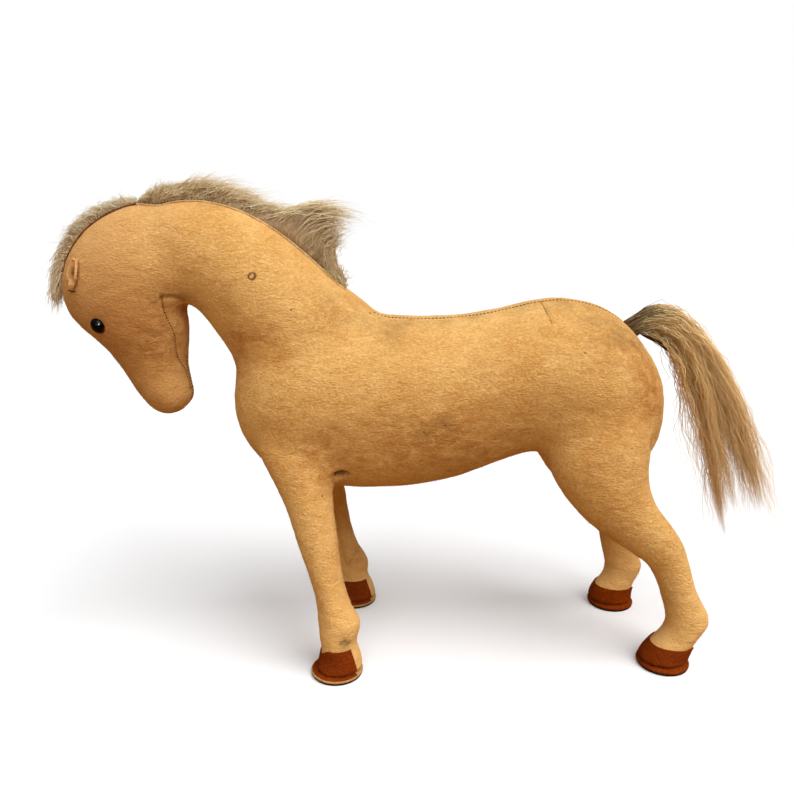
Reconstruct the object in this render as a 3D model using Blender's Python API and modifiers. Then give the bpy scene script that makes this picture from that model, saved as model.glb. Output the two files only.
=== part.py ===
"""A felt-covered stuffed horse that stands on four wired legs with its head lowered.

The horse faces -X, its left side is towards -Y, and the origin is on the ground under
the middle of its length. Each stuffed form is a cage of sections that is subdivided,
and the smaller form is cut by the larger one that it is sewn to.
"""

import math

import bmesh
import bpy
import numpy as np
from mathutils import Matrix, Vector
from mathutils.bvhtree import BVHTree

# Clearances
GAP = 0.0003                  # between pieces that touch
WIRE_CLEARANCE = 0.0004       # round a wire in its bore
OVERRUN = 0.003               # how far a cut runs past what it cuts

# Stance
BELLY_HEIGHT = 0.0885         # ground to the lowest line of the barrel
CHEST_X = -0.0957             # front of the chest
FORE_FOOT_HALF_SPREAD = 0.0353
HIND_FOOT_HALF_SPREAD = 0.0300
FORE_LEG_TOP_HALF_SPREAD = 0.0140
HIND_LEG_TOP_HALF_SPREAD = 0.0150
RIGHT_HIND_ADVANCE = 0.0080   # the right hind foot stands this far ahead of the left
RIGHT_HIND_BOW = 0.0080       # and its shank bows this much further ahead
RIGHT_FORE_ADVANCE = -0.0045  # and the right fore foot, which stands behind
FORE_FEET_SHIFT = -0.0020     # both fore feet stand this far towards the left

# Trunk
TRUNK_LENGTH = 0.2203
TRUNK_DEPTH = 0.0870
TRUNK_WIDTH = 0.0660

# Neck, from the withers to the poll
NECK_REACH = 0.0900           # how far the poll lies ahead of the withers
NECK_RISE = 0.0455            # and how far above them
NECK_WIDTH = 0.0480

# Head, hung from the poll
HEAD_LENGTH = 0.1060          # poll to muzzle
HEAD_DEPTH = 0.0600           # forehead to throat
HEAD_WIDTH = 0.0400

# Legs
FORE_LEG_REACH = 0.0400       # how far a foreleg runs up into the trunk
HIND_LEG_REACH = 0.0480
FORE_LEG_THICKNESS = 0.0180   # front to back at the cannon
HIND_LEG_THICKNESS = 0.0190

# Feet
SOLE_LENGTH = 0.0252
SOLE_WIDTH = 0.0240
SOLE_THICKNESS = 0.0032
FORE_SOLE_FORWARD = 0.0015    # from the foot's middle to the sole's
HIND_SOLE_FORWARD = -0.0004
SOLE_ROUNDING = 0.0006
FELT_THICKNESS = 0.0013       # the brown felt of a hoof wrap
CARD_THICKNESS = 0.0008
CARD_DIAMETER = 0.0140
FORE_WRAP_TOE_HEIGHT = 0.0116 # ground to the top edge of a hoof wrap
FORE_WRAP_SIDE_HEIGHT = 0.0160
FORE_WRAP_HEEL_HEIGHT = 0.0166
HIND_WRAP_TOE_HEIGHT = 0.0126
HIND_WRAP_SIDE_HEIGHT = 0.0126
HIND_WRAP_HEEL_HEIGHT = 0.0120
WRAP_LEDGE = 0.0009           # pale felt left showing under the wrap
FORE_HEEL_OPENING = 0.0126    # width of the opening of a wrap at the heel
HIND_HEEL_OPENING = 0.0080

# Armature
LEG_WIRE_RADIUS = 0.0008
SPINE_WIRE_RADIUS = 0.0010
WIRE_OVERLAP = 0.0080         # how far a leg wire runs beside the spine wire

# Eyes
EYE_DIAMETER = 0.0070
EYE_SINK = 0.0011             # how far the eye's centre lies below the felt
EYE_SHANK_LENGTH = 0.0080     # from the eye's centre
EYE_SHANK_RADIUS = 0.0007
TWINE_RADIUS = 0.0005

# Ears
EAR_LENGTH = 0.0160
EAR_WIDTH = 0.0080
EAR_THICKNESS = 0.0015
EAR_FOLD = 0.0022             # depth of the fold down the middle

# Tail
ROOT_BALL_RADIUS = 0.0060
DOCK_RADIUS = 0.0048
DOCK_LENGTH = 0.0125
DOCK_TILT = math.radians(35)  # the dock rises this much towards its end
TAIL_REACH = 0.0700           # how far the hair reaches behind the dock
TAIL_DROP = 0.1130            # and how far below it
TAIL_LOCK_THICKNESS = 0.0205
TAIL_WIDTH = 0.0220
LOCK_LEAVE_SHARE = 0.36       # of a lock's reach, at which it stops rising
LOCK_ARRIVE_SHARE = 0.25      # of a lock's reach, left for its lower half
LOCK_DROP_SHARE = 0.55        # of a lock's drop, left for its lower half
LOCK_RISE_SHARE = 0.60        # of the dock's radius, by which a lock rises
LOCK_FLATNESS_SHARE = 0.80

# Hair of the crest
MANE_HEIGHT = 0.0160
MANE_WIDTH = 0.0120
FORELOCK_HEIGHT = 0.0100
FORELOCK_WIDTH = 0.0130
HAIR_ROOT_DEPTH = 0.0040      # how far the hair is sunk before it is cut
HAIR_KNEE_SHARE = 0.40        # of a tuft's height, up to which it keeps its width
HAIR_TIP_WIDTH_SHARE = 0.25
TUFT_DIP_SHARE = 0.80         # height between two tufts

# Share of a leg's height over which the advance of its foot fades out
FORE_ADVANCE_FADE_SHARE = 0.22
HIND_ADVANCE_FADE_SHARE = 0.58

# Places, as shares of the piece that carries them
FORE_FOOT_X_SHARE = 0.240     # of the trunk's length behind the chest
HIND_FOOT_X_SHARE = 1.000
WITHERS_X_SHARE = 0.282
WITHERS_Z_SHARE = 1.120       # of the trunk's depth above the belly line
SPINE_Z_SHARE = 0.560
SPINE_END_X_SHARE = 0.880
TAIL_ROOT_Z_SHARE = 0.920
TRUNK_MIDDLE_X_SHARE = 0.500
THROAT_X_SHARE = 0.926        # of the neck's reach ahead of the withers
EYE_X_SHARE = 0.625           # of the head's depth ahead of the throat
EYE_Z_SHARE = 0.555           # of the head's length below the poll
SKULL_X_SHARE = 0.450         # middle of the skull, from which the ears are placed
EAR_BASE_Z_SHARE = 0.390
EAR_TIP_Z_SHARE = 0.245
EAR_BASE_TURN = math.radians(30)
EAR_TIP_TURN = math.radians(33)

# Sections of the trunk from chest to rump: place along its length, top and bottom
# as shares of its depth above the belly line, and the share of its width.
TRUNK_SHARES = (
    (0.006, 0.640, 0.400, 0.30),
    (0.030, 0.840, 0.235, 0.62),
    (0.080, 0.975, 0.100, 0.84),
    (0.150, 1.030, 0.005, 0.96),
    (0.260, 1.030, -0.030, 1.00),
    (0.390, 1.003, -0.026, 1.02),
    (0.510, 1.004, 0.022, 1.00),
    (0.615, 1.044, 0.140, 0.96),
    (0.715, 1.116, 0.222, 0.96),
    (0.810, 1.088, 0.175, 0.96),
    (0.885, 1.000, 0.105, 0.86),
    (0.950, 0.800, 0.090, 0.68),
    (0.990, 0.640, 0.270, 0.34),
)

# Sections of the neck from inside the trunk to inside the head: the crest point and
# the throat point as shares of its reach and rise, and the share of its width.
NECK_SHARES = (
    (-0.20, -0.31, 0.56, -1.19, 0.80),
    (-0.06, -0.05, 0.64, -0.95, 1.05),
    (0.07, 0.12, 0.672, -0.74, 1.00),
    (0.25, 0.46, 0.722, -0.55, 0.92),
    (0.45, 0.77, 0.778, -0.38, 0.84),
    (0.65, 0.95, 0.830, -0.23, 0.77),
    (0.83, 1.01, 0.880, -0.13, 0.72),
    (1.00, 0.98, 0.925, -0.09, 0.68),
    (1.15, 0.83, 0.975, -0.05, 0.58),
    (1.20, 0.60, 1.040, 0.10, 0.36),
)

# Sections of the head from inside the neck to the lip: the brow or nose point and
# the throat or jaw point as shares of its depth and length, and the share of its
# width.
HEAD_SHARES = (
    (0.02, 0.066, -0.033, 0.368, 0.62),
    (0.26, -0.004, 0.000, 0.425, 0.80),
    (0.49, 0.040, 0.017, 0.453, 0.92),
    (0.73, 0.108, 0.008, 0.470, 0.98),
    (0.93, 0.240, 0.000, 0.515, 1.00),
    (1.02, 0.400, 0.000, 0.575, 0.98),
    (0.965, 0.535, 0.005, 0.645, 0.92),
    (0.755, 0.625, 0.030, 0.717, 0.80),
    (0.600, 0.735, 0.033, 0.792, 0.71),
    (0.505, 0.845, 0.005, 0.868, 0.67),
    (0.410, 0.940, -0.006, 0.928, 0.64),
    (0.290, 1.000, 0.110, 0.995, 0.38),
)

# Sections of a leg from below the ground, where the foot is cut flat, to its top
# inside the trunk: the front and the rear point as shares of its thickness behind
# the foot's middle and of its height, and its width as a share of its thickness.
FORE_LEG_SHARES = (
    (-0.57, -0.035, 0.72, -0.035, 1.14),
    (-0.55, 0.027, 0.74, 0.027, 1.13),
    (-0.39, 0.093, 0.70, 0.090, 1.00),
    (-0.49, 0.145, 0.50, 0.140, 0.91),
    (-0.51, 0.200, 0.78, 0.200, 0.97),
    (-0.52, 0.245, 0.58, 0.245, 0.92),
    (-0.56, 0.300, 0.37, 0.300, 0.86),
    (-0.72, 0.395, 0.20, 0.395, 0.86),
    (-1.05, 0.521, 0.10, 0.521, 0.94),
    (-1.26, 0.640, -0.02, 0.640, 1.06),
    (-1.74, 0.774, -0.12, 0.774, 1.22),
    (-2.30, 0.905, -0.10, 0.905, 1.34),
    (-2.10, 1.000, -0.50, 1.000, 1.00),
)
HIND_LEG_SHARES = (
    (-0.68, -0.035, 0.56, -0.035, 1.08),
    (-0.66, 0.026, 0.58, 0.026, 1.07),
    (-0.50, 0.072, 0.69, 0.070, 0.96),
    (-0.05, 0.130, 0.91, 0.125, 0.90),
    (0.03, 0.180, 1.22, 0.178, 0.95),
    (-0.08, 0.232, 1.00, 0.228, 0.87),
    (-0.27, 0.315, 0.70, 0.305, 0.82),
    (-0.55, 0.395, 0.50, 0.405, 0.82),
    (-0.98, 0.432, 0.30, 0.490, 0.90),
    (-1.60, 0.488, -0.12, 0.566, 1.05),
    (-2.20, 0.545, -0.56, 0.640, 1.22),
    (-2.90, 0.650, -0.74, 0.745, 1.42),
    (-3.48, 0.790, -0.56, 0.870, 1.56),
    (-3.00, 0.990, -0.70, 1.010, 1.26),
)

# Locks of the tail: the tip's reach and drop, its side place and the thickness, as
# shares of the tail's own. The first lock is the core that the others join.
TAIL_LOCK_SHARES = (
    (0.67, 0.98, 0.00, 1.00),
    (1.00, 0.88, 0.10, 0.44),
    (0.80, 0.84, -0.42, 0.62),
    (0.74, 0.95, 0.44, 0.66),
    (0.60, 0.92, -0.46, 0.66),
    (0.51, 0.82, 0.30, 0.50),
)

# Thickness of a lock from root to tip, as shares of its greatest.
LOCK_TAPER_SHARES = (0.56, 0.80, 0.94, 1.00, 1.00, 0.95, 0.86, 0.72, 0.46, 0.12)

# Tufts of the mane from the poll to the withers: place along the crest, height, and
# lean along the crest as shares of the height.
MANE_TUFT_SHARES = (
    (0.00, 0.12, 0.00),
    (0.06, 0.40, 0.05),
    (0.14, 0.52, 0.05),
    (0.22, 0.58, 0.08),
    (0.31, 0.52, 0.10),
    (0.40, 0.58, 0.12),
    (0.49, 0.54, 0.15),
    (0.58, 0.62, 0.20),
    (0.65, 0.72, 0.15),
    (0.71, 1.72, 0.10),
    (0.77, 1.55, 0.30),
    (0.84, 0.95, 0.35),
    (0.92, 0.75, 0.30),
    (1.00, 0.10, 0.00),
)

# Tufts of the forelock from the poll to the brow, in the same way.
FORELOCK_TUFT_SHARES = (
    (0.00, 0.10, 0.00),
    (0.15, 0.42, 0.05),
    (0.32, 0.52, 0.10),
    (0.50, 0.60, 0.20),
    (0.68, 0.72, 0.40),
    (0.85, 0.74, 0.60),
    (1.00, 0.34, 0.60),
)

# Where the hair strips start and end along the outlines they are sewn into, counted
# in sections of the neck's crest and of the head's brow.
MANE_SECTIONS = (7, 2)
FORELOCK_SECTIONS = (2, 5)

# Outline of the ear from base to tip: half width as a share of the ear's.
EAR_OUTLINE_SHARES = (0.62, 0.86, 1.00, 0.96, 0.72, 0.34)

# Places across the ear as shares of its half width, and how deep it is folded there.
EAR_ACROSS_SHARES = ((-1.0, 1.0), (-0.6, 0.46), (0.0, 0.0), (0.6, 0.46), (1.0, 1.0))

# Faces round each form
TRUNK_SIDES = 12
NECK_SIDES = 10
LEG_SIDES = 8
LOCK_SIDES = 8
WIRE_BEVEL_STEPS = 2
BALL_SEGMENTS = 16
BALL_RINGS = 10
SOLE_SEGMENTS = 24

# Places that follow from the sizes above
WITHERS_X = CHEST_X + WITHERS_X_SHARE * TRUNK_LENGTH
WITHERS_Z = BELLY_HEIGHT + WITHERS_Z_SHARE * TRUNK_DEPTH
POLL_Z = WITHERS_Z + NECK_RISE
THROAT_X = WITHERS_X - THROAT_X_SHARE * NECK_REACH
SPINE_Z = BELLY_HEIGHT + SPINE_Z_SHARE * TRUNK_DEPTH
TAIL_ROOT_Z = BELLY_HEIGHT + TAIL_ROOT_Z_SHARE * TRUNK_DEPTH
EYE_X = THROAT_X - EYE_X_SHARE * HEAD_DEPTH
EYE_Z = POLL_Z - EYE_Z_SHARE * HEAD_LENGTH
SKULL_X = THROAT_X - SKULL_X_SHARE * HEAD_DEPTH
FOOT_BASE_Z = SOLE_THICKNESS + GAP
SIDES = {"left": -1, "right": 1}
# How far ahead each foot stands, the share of the leg's height over which that fades
# out, and how far the leg bows ahead between its ends
FORE_STANCES = {
    "left": (0, FORE_ADVANCE_FADE_SHARE, 0),
    "right": (RIGHT_FORE_ADVANCE, FORE_ADVANCE_FADE_SHARE, 0),
}
HIND_STANCES = {
    "left": (0, HIND_ADVANCE_FADE_SHARE, 0),
    "right": (RIGHT_HIND_ADVANCE, HIND_ADVANCE_FADE_SHARE, RIGHT_HIND_BOW),
}
# Top edge of a hoof wrap above the toe, the side and the heel
WRAP_TOPS = {
    "fore": (FORE_WRAP_TOE_HEIGHT, FORE_WRAP_SIDE_HEIGHT, FORE_WRAP_HEEL_HEIGHT),
    "hind": (HIND_WRAP_TOE_HEIGHT, HIND_WRAP_SIDE_HEIGHT, HIND_WRAP_HEEL_HEIGHT),
}
HEEL_OPENINGS = {"fore": FORE_HEEL_OPENING, "hind": HIND_HEEL_OPENING}
SOLE_FORWARDS = {"fore": FORE_SOLE_FORWARD, "hind": HIND_SOLE_FORWARD}

# Felt, hair, leather, glass, card, twine and wire: colour, roughness, metallic
FINISHES = {
    "golden_felt": ((0.74, 0.45, 0.17), 0.95, 0.0),
    "brown_felt": ((0.20, 0.045, 0.015), 0.95, 0.0),
    "sole_leather": ((0.09, 0.035, 0.02), 0.80, 0.0),
    "mane_hair": ((0.38, 0.30, 0.19), 0.70, 0.0),
    "tail_hair": ((0.44, 0.31, 0.15), 0.60, 0.0),
    "dock_leather": ((0.22, 0.11, 0.05), 0.75, 0.0),
    "black_glass": ((0.01, 0.006, 0.004), 0.05, 0.0),
    "card": ((0.45, 0.36, 0.25), 0.90, 0.0),
    "twine": ((0.55, 0.47, 0.33), 0.90, 0.0),
    "steel_wire": ((0.35, 0.35, 0.36), 0.40, 1.0),
}


def make_collection(name):
    collection = bpy.data.collections.new(name)
    bpy.context.scene.collection.children.link(collection)
    return collection


def make_material(name):
    """One plain surface of the given finish."""
    colour, roughness, metallic = FINISHES[name]
    material = bpy.data.materials.new(name)
    material.use_nodes = True
    shader = material.node_tree.nodes["Principled BSDF"]
    shader.inputs["Base Color"].default_value = (*colour, 1.0)
    shader.inputs["Roughness"].default_value = roughness
    shader.inputs["Metallic"].default_value = metallic
    return material


def add_piece(name, mesh, finish):
    """A piece of the horse, in its own material."""
    material = bpy.data.materials.get(finish) or make_material(finish)
    mesh.materials.append(material)
    mesh.shade_smooth()
    piece = bpy.data.objects.new(name, mesh)
    PIECES.objects.link(piece)
    return piece


def add_guide(name, mesh):
    """A shape that only cuts or joins others."""
    guide = bpy.data.objects.new(name, mesh)
    GUIDES.objects.link(guide)
    guide.hide_render = True
    guide.display_type = "WIRE"
    return guide


def shape_with(piece, tool, operation="DIFFERENCE"):
    """Cut the piece with the tool, join it on, or keep what they share."""
    step = piece.modifiers.new(tool.name, "BOOLEAN")
    step.operation = operation
    step.object = tool


def round_cage(form, growth=0.0):
    """Round a cage, and move its skin outwards by the growth."""
    rounding = form.modifiers.new("rounding", "SUBSURF")
    rounding.levels = 1
    rounding.render_levels = 1
    if growth:
        skin = form.modifiers.new("growth", "DISPLACE")
        skin.strength = growth
        skin.mid_level = 0.0
    return form


def finish_mesh(builder, name):
    """Turn the faces outwards and hand the mesh over."""
    bmesh.ops.recalc_face_normals(builder, faces=builder.faces)
    mesh = bpy.data.meshes.new(name)
    builder.to_mesh(mesh)
    builder.free()
    return mesh


def skin_rings(builder, rings):
    """Join rings of points with four-sided faces and close both ends."""
    for lower, upper in zip(rings, rings[1:]):
        for here in range(len(lower)):
            builder.faces.new((lower[here - 1], lower[here], upper[here], upper[here - 1]))
    builder.faces.new(rings[0])
    builder.faces.new(rings[-1])


def cage_mesh(name, sections, sides):
    """Cage of a stuffed form: one oval ring round each pair of outline points.

    Rounding draws a ring of so many sides inwards, so the cage is made that much
    larger than the form.
    """
    swell = 1 / (0.75 + 0.25 * math.cos(2 * math.pi / sides))
    builder = bmesh.new()
    rings = []
    for front, rear, half_width in sections:
        middle = (front + rear) / 2
        arm = (front - rear) / 2 * swell
        breadth = Vector((0, half_width * swell, 0))
        ring = []
        for turn in np.linspace(0, 2 * math.pi, sides, endpoint=False):
            ring.append(builder.verts.new(middle + arm * math.cos(turn) + breadth * math.sin(turn)))
        rings.append(ring)
    skin_rings(builder, rings)
    return finish_mesh(builder, name)


def box_mesh(name, low, high):
    """A block between two corners."""
    builder = bmesh.new()
    size = Vector(high) - Vector(low)
    middle = (Vector(high) + Vector(low)) / 2
    place = Matrix.Translation(middle) @ Matrix.Diagonal((*size, 1))
    bmesh.ops.create_cube(builder, size=1, matrix=place)
    return finish_mesh(builder, name)


def ball_mesh(name, middle, radius):
    builder = bmesh.new()
    bmesh.ops.create_uvsphere(
        builder, u_segments=BALL_SEGMENTS, v_segments=BALL_RINGS, radius=radius,
        matrix=Matrix.Translation(middle),
    )
    return finish_mesh(builder, name)


def rod_mesh(name, start, end, radius, segments=BALL_SEGMENTS):
    """A straight round rod from start to end."""
    builder = bmesh.new()
    along = Vector(end) - Vector(start)
    turn = along.to_track_quat("Z", "Y").to_matrix().to_4x4()
    place = Matrix.Translation((Vector(start) + Vector(end)) / 2) @ turn
    bmesh.ops.create_cone(
        builder, cap_ends=True, segments=segments, radius1=radius, radius2=radius,
        depth=along.length, matrix=place,
    )
    return finish_mesh(builder, name)


def tube_mesh(name, route, radius):
    """A wire or its bore: a round tube along the route, with welded caps."""
    curve = bpy.data.curves.new(name, "CURVE")
    curve.dimensions = "3D"
    curve.bevel_depth = radius
    curve.bevel_resolution = WIRE_BEVEL_STEPS
    curve.use_fill_caps = True
    spline = curve.splines.new("POLY")
    spline.points.add(len(route) - 1)
    for point, place in zip(spline.points, route):
        point.co = (*place, 1.0)
    tube = bpy.data.objects.new(name, curve)
    GUIDES.objects.link(tube)
    bpy.context.view_layer.update()
    mesh = bpy.data.meshes.new_from_object(tube.evaluated_get(bpy.context.evaluated_depsgraph_get()))
    bpy.data.objects.remove(tube, do_unlink=True)
    builder = bmesh.new()
    builder.from_mesh(mesh)
    bmesh.ops.remove_doubles(builder, verts=builder.verts, dist=radius / 1000)
    return finish_mesh(builder, name)


def longer(route, length):
    """The same route, run on straight past both ends."""
    start = route[0] + (route[0] - route[1]).normalized() * length
    end = route[-1] + (route[-1] - route[-2]).normalized() * length
    return [start, *route[1:-1], end]


def skin_point(form, origin, direction):
    """Where a ray from inside a form meets its skin, and the skin's normal there."""
    bpy.context.view_layer.update()
    tree = BVHTree.FromObject(form, bpy.context.evaluated_depsgraph_get())
    place, normal, _, _ = tree.ray_cast(Vector(origin), Vector(direction))
    return place, normal


def trunk_sections():
    sections = []
    for along, top, bottom, width in TRUNK_SHARES:
        x = CHEST_X + along * TRUNK_LENGTH
        upper = Vector((x, 0, BELLY_HEIGHT + top * TRUNK_DEPTH))
        lower = Vector((x, 0, BELLY_HEIGHT + bottom * TRUNK_DEPTH))
        sections.append((upper, lower, width * TRUNK_WIDTH / 2))
    return sections


def neck_sections():
    sections = []
    for crest_x, crest_z, throat_x, throat_z, width in NECK_SHARES:
        crest = Vector((WITHERS_X - crest_x * NECK_REACH, 0, WITHERS_Z + crest_z * NECK_RISE))
        throat = Vector((WITHERS_X - throat_x * NECK_REACH, 0, WITHERS_Z + throat_z * NECK_RISE))
        sections.append((crest, throat, width * NECK_WIDTH / 2))
    return sections


def head_sections():
    sections = []
    for brow_x, brow_z, jaw_x, jaw_z, width in HEAD_SHARES:
        brow = Vector((THROAT_X - brow_x * HEAD_DEPTH, 0, POLL_Z - brow_z * HEAD_LENGTH))
        jaw = Vector((THROAT_X - jaw_x * HEAD_DEPTH, 0, POLL_Z - jaw_z * HEAD_LENGTH))
        sections.append((brow, jaw, width * HEAD_WIDTH / 2))
    return sections


def leg_sections(shares, foot, top_y, thickness, height, stance):
    """Sections of a leg that stands straight and curves inwards into the trunk.

    The advance is how far ahead its foot stands. It fades out up the leg, and the bow
    is largest halfway up to there.
    """
    advance, fade_share, bow = stance
    sections = []
    for front_x, front_z, rear_x, rear_z, width in shares:
        rise = max((front_z + rear_z) / 2, 0)
        y = foot.y + (top_y - foot.y) * rise ** 2
        faded = min(rise / fade_share, 1)
        x = foot.x - advance * (1 - faded ** 2) - 4 * bow * faded * (1 - faded)
        front = Vector((x + front_x * thickness, y, front_z * height))
        rear = Vector((x + rear_x * thickness, y, rear_z * height))
        sections.append((front, rear, width * thickness / 2))
    return sections


def middles(sections):
    return [(front + rear) / 2 for front, rear, _ in sections]


def make_trunk():
    """Body of the horse, and the grown copy that cuts the forms sewn to it."""
    mesh = cage_mesh("trunk", trunk_sections(), TRUNK_SIDES)
    grown = round_cage(add_guide("trunk_room", mesh.copy()), GAP)
    return round_cage(add_piece("trunk", mesh, "golden_felt")), grown


def make_neck(trunk_room):
    mesh = cage_mesh("neck", neck_sections(), NECK_SIDES)
    grown = round_cage(add_guide("neck_room", mesh.copy()), GAP)
    neck = round_cage(add_piece("neck", mesh, "golden_felt"))
    shape_with(neck, trunk_room)
    return neck, grown


def make_head():
    mesh = cage_mesh("head", head_sections(), NECK_SIDES)
    grown = round_cage(add_guide("head_room", mesh.copy()), GAP)
    head = round_cage(add_piece("head", mesh, "golden_felt"))
    return head, grown


def make_eyes(head):
    """Glass eyes on wire shanks, and the twine through the head that ties them."""
    bore_ends = []
    twine_ends = []
    for side_name, side in SIDES.items():
        skin, _ = skin_point(head, (EYE_X, 0, EYE_Z), (0, side, 0))
        centre = skin - Vector((0, side * EYE_SINK, 0))
        shank_end = centre - Vector((0, side * EYE_SHANK_LENGTH, 0))
        ball = ball_mesh("eye", centre, EYE_DIAMETER / 2)
        eye = add_piece(f"eye_{side_name}", ball, "black_glass")
        shank = rod_mesh("shank", centre, shank_end, EYE_SHANK_RADIUS)
        shape_with(eye, add_guide(f"eye_shank_{side_name}", shank), "UNION")
        socket = ball_mesh("socket", centre, EYE_DIAMETER / 2 + GAP)
        shape_with(head, add_guide(f"eye_socket_{side_name}", socket))
        bore_ends.append(centre)
        twine_ends.append(shank_end - Vector((0, side * GAP, 0)))
    bore = rod_mesh("bore", *bore_ends, EYE_SHANK_RADIUS + WIRE_CLEARANCE)
    shape_with(head, add_guide("eye_bore", bore))
    add_piece("eye_twine", rod_mesh("twine", *twine_ends, TWINE_RADIUS), "twine")


def ear_mesh(name):
    """A felt leaf that is widest below its middle and folded down its length."""
    builder = bmesh.new()
    rows = []
    for step, half_share in enumerate(EAR_OUTLINE_SHARES):
        height = EAR_LENGTH * step / (len(EAR_OUTLINE_SHARES) - 1)
        row = []
        for place, depth in EAR_ACROSS_SHARES:
            x = place * half_share * EAR_WIDTH / 2
            y = depth * half_share * EAR_FOLD
            row.append(builder.verts.new((x, y, height)))
        rows.append(row)
    for lower, upper in zip(rows, rows[1:]):
        for here in range(len(lower) - 1):
            builder.faces.new((lower[here], lower[here + 1], upper[here + 1], upper[here]))
    return finish_mesh(builder, name)


def make_ears(head):
    """Ears laid back against the head, each turning on the line of its sewn base."""
    base_z = POLL_Z - EAR_BASE_Z_SHARE * HEAD_LENGTH
    tip_z = POLL_Z - EAR_TIP_Z_SHARE * HEAD_LENGTH
    for side_name, side in SIDES.items():
        base_way = (-math.cos(EAR_BASE_TURN), side * math.sin(EAR_BASE_TURN), 0)
        tip_way = (-math.cos(EAR_TIP_TURN), side * math.sin(EAR_TIP_TURN), 0)
        base, normal = skin_point(head, (SKULL_X, 0, base_z), base_way)
        tip, tip_normal = skin_point(head, (SKULL_X, 0, tip_z), tip_way)
        stand_off = EAR_THICKNESS / 2 + GAP
        base = base + normal * stand_off
        tip = tip + tip_normal * (stand_off + EAR_THICKNESS)
        along = (tip - base).normalized()
        outward = (normal - along * normal.dot(along)).normalized()
        across = outward.cross(along)
        turn = Matrix((across, outward, along)).transposed().to_4x4()
        ear = add_piece(f"ear_{side_name}", ear_mesh("ear"), "golden_felt")
        ear.matrix_world = Matrix.Translation(base) @ turn
        wall = ear.modifiers.new("felt", "SOLIDIFY")
        wall.thickness = EAR_THICKNESS
        wall.offset = 0.0


def make_foot(name, leg, sections, place_name):
    """Hoof wrap, sole and card of one foot, and the cuts that they need in the leg.

    The wrap is the foot's own form grown by the felt, kept between a ledge over the
    sole and a top edge that runs from the toe over the side to the open heel.
    """
    end_name = place_name.split("_")[0]
    foot = (sections[1][0] + sections[1][1]) / 2
    corner = Vector((SOLE_LENGTH, SOLE_LENGTH, 0))
    low = foot - corner
    high = foot + corner
    ground = box_mesh("ground", (low.x, low.y, -SOLE_LENGTH), (high.x, high.y, FOOT_BASE_Z))
    shape_with(leg, add_guide(f"{name}_ground", ground))

    cage = cage_mesh("wrap", sections, LEG_SIDES)
    foot_room = round_cage(add_guide(f"{name}_foot_room", cage.copy()), GAP)
    wrap = round_cage(add_piece(f"hoof_{place_name}", cage, "brown_felt"), GAP + FELT_THICKNESS)
    band = wrap_band_mesh(low, high, WRAP_TOPS[end_name])
    shape_with(wrap, add_guide(f"{name}_wrap_band", band), "INTERSECT")
    shape_with(wrap, foot_room)
    half = HEEL_OPENINGS[end_name] / 2
    heel = box_mesh("heel", (foot.x, foot.y - half, 0), (high.x, foot.y + half, SOLE_LENGTH))
    shape_with(wrap, add_guide(f"{name}_heel", heel))

    sole = add_piece(f"sole_{place_name}", sole_mesh(foot, SOLE_FORWARDS[end_name]), "sole_leather")
    rim = sole.modifiers.new("rim", "BEVEL")
    rim.width = SOLE_ROUNDING
    rim.segments = 1
    rim.limit_method = "ANGLE"

    card_base = Vector((foot.x, foot.y, FOOT_BASE_Z))
    card_top = card_base + Vector((0, 0, CARD_THICKNESS))
    card = rod_mesh("card", card_base, card_top, CARD_DIAMETER / 2)
    add_piece(f"insole_card_{place_name}", card, "card")
    pocket_base = card_base - Vector((0, 0, OVERRUN))
    pocket_top = card_top + Vector((0, 0, GAP))
    pocket = rod_mesh("pocket", pocket_base, pocket_top, CARD_DIAMETER / 2 + GAP)
    shape_with(leg, add_guide(f"{name}_card_pocket", pocket))
    return card_top + Vector((0, 0, GAP))


def wrap_band_mesh(low, high, heights):
    """Block round a foot whose top has the given heights over the toe, side and heel."""
    builder = bmesh.new()
    middle_x = (low.x + high.x) / 2
    toe_x = middle_x - SOLE_LENGTH / 2
    heel_x = middle_x + SOLE_LENGTH / 2
    base_z = FOOT_BASE_Z + WRAP_LEDGE
    toe_z, side_z, heel_z = heights
    rings = []
    for x, top_z in ((low.x, toe_z), (toe_x, toe_z), (middle_x, side_z), (heel_x, heel_z), (high.x, heel_z)):
        corners = ((low.y, base_z), (high.y, base_z), (high.y, top_z), (low.y, top_z))
        rings.append([builder.verts.new((x, y, z)) for y, z in corners])
    skin_rings(builder, rings)
    return finish_mesh(builder, "wrap_band")


def sole_mesh(foot, forward):
    """An oval disc that lies on the ground."""
    builder = bmesh.new()
    middle = Vector((foot.x - forward, foot.y, SOLE_THICKNESS / 2))
    place = Matrix.Translation(middle) @ Matrix.Diagonal((SOLE_LENGTH, SOLE_WIDTH, SOLE_THICKNESS, 1))
    bmesh.ops.create_cone(
        builder, cap_ends=True, segments=SOLE_SEGMENTS, radius1=1 / 2, radius2=1 / 2, depth=1, matrix=place
    )
    return finish_mesh(builder, "sole")


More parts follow.
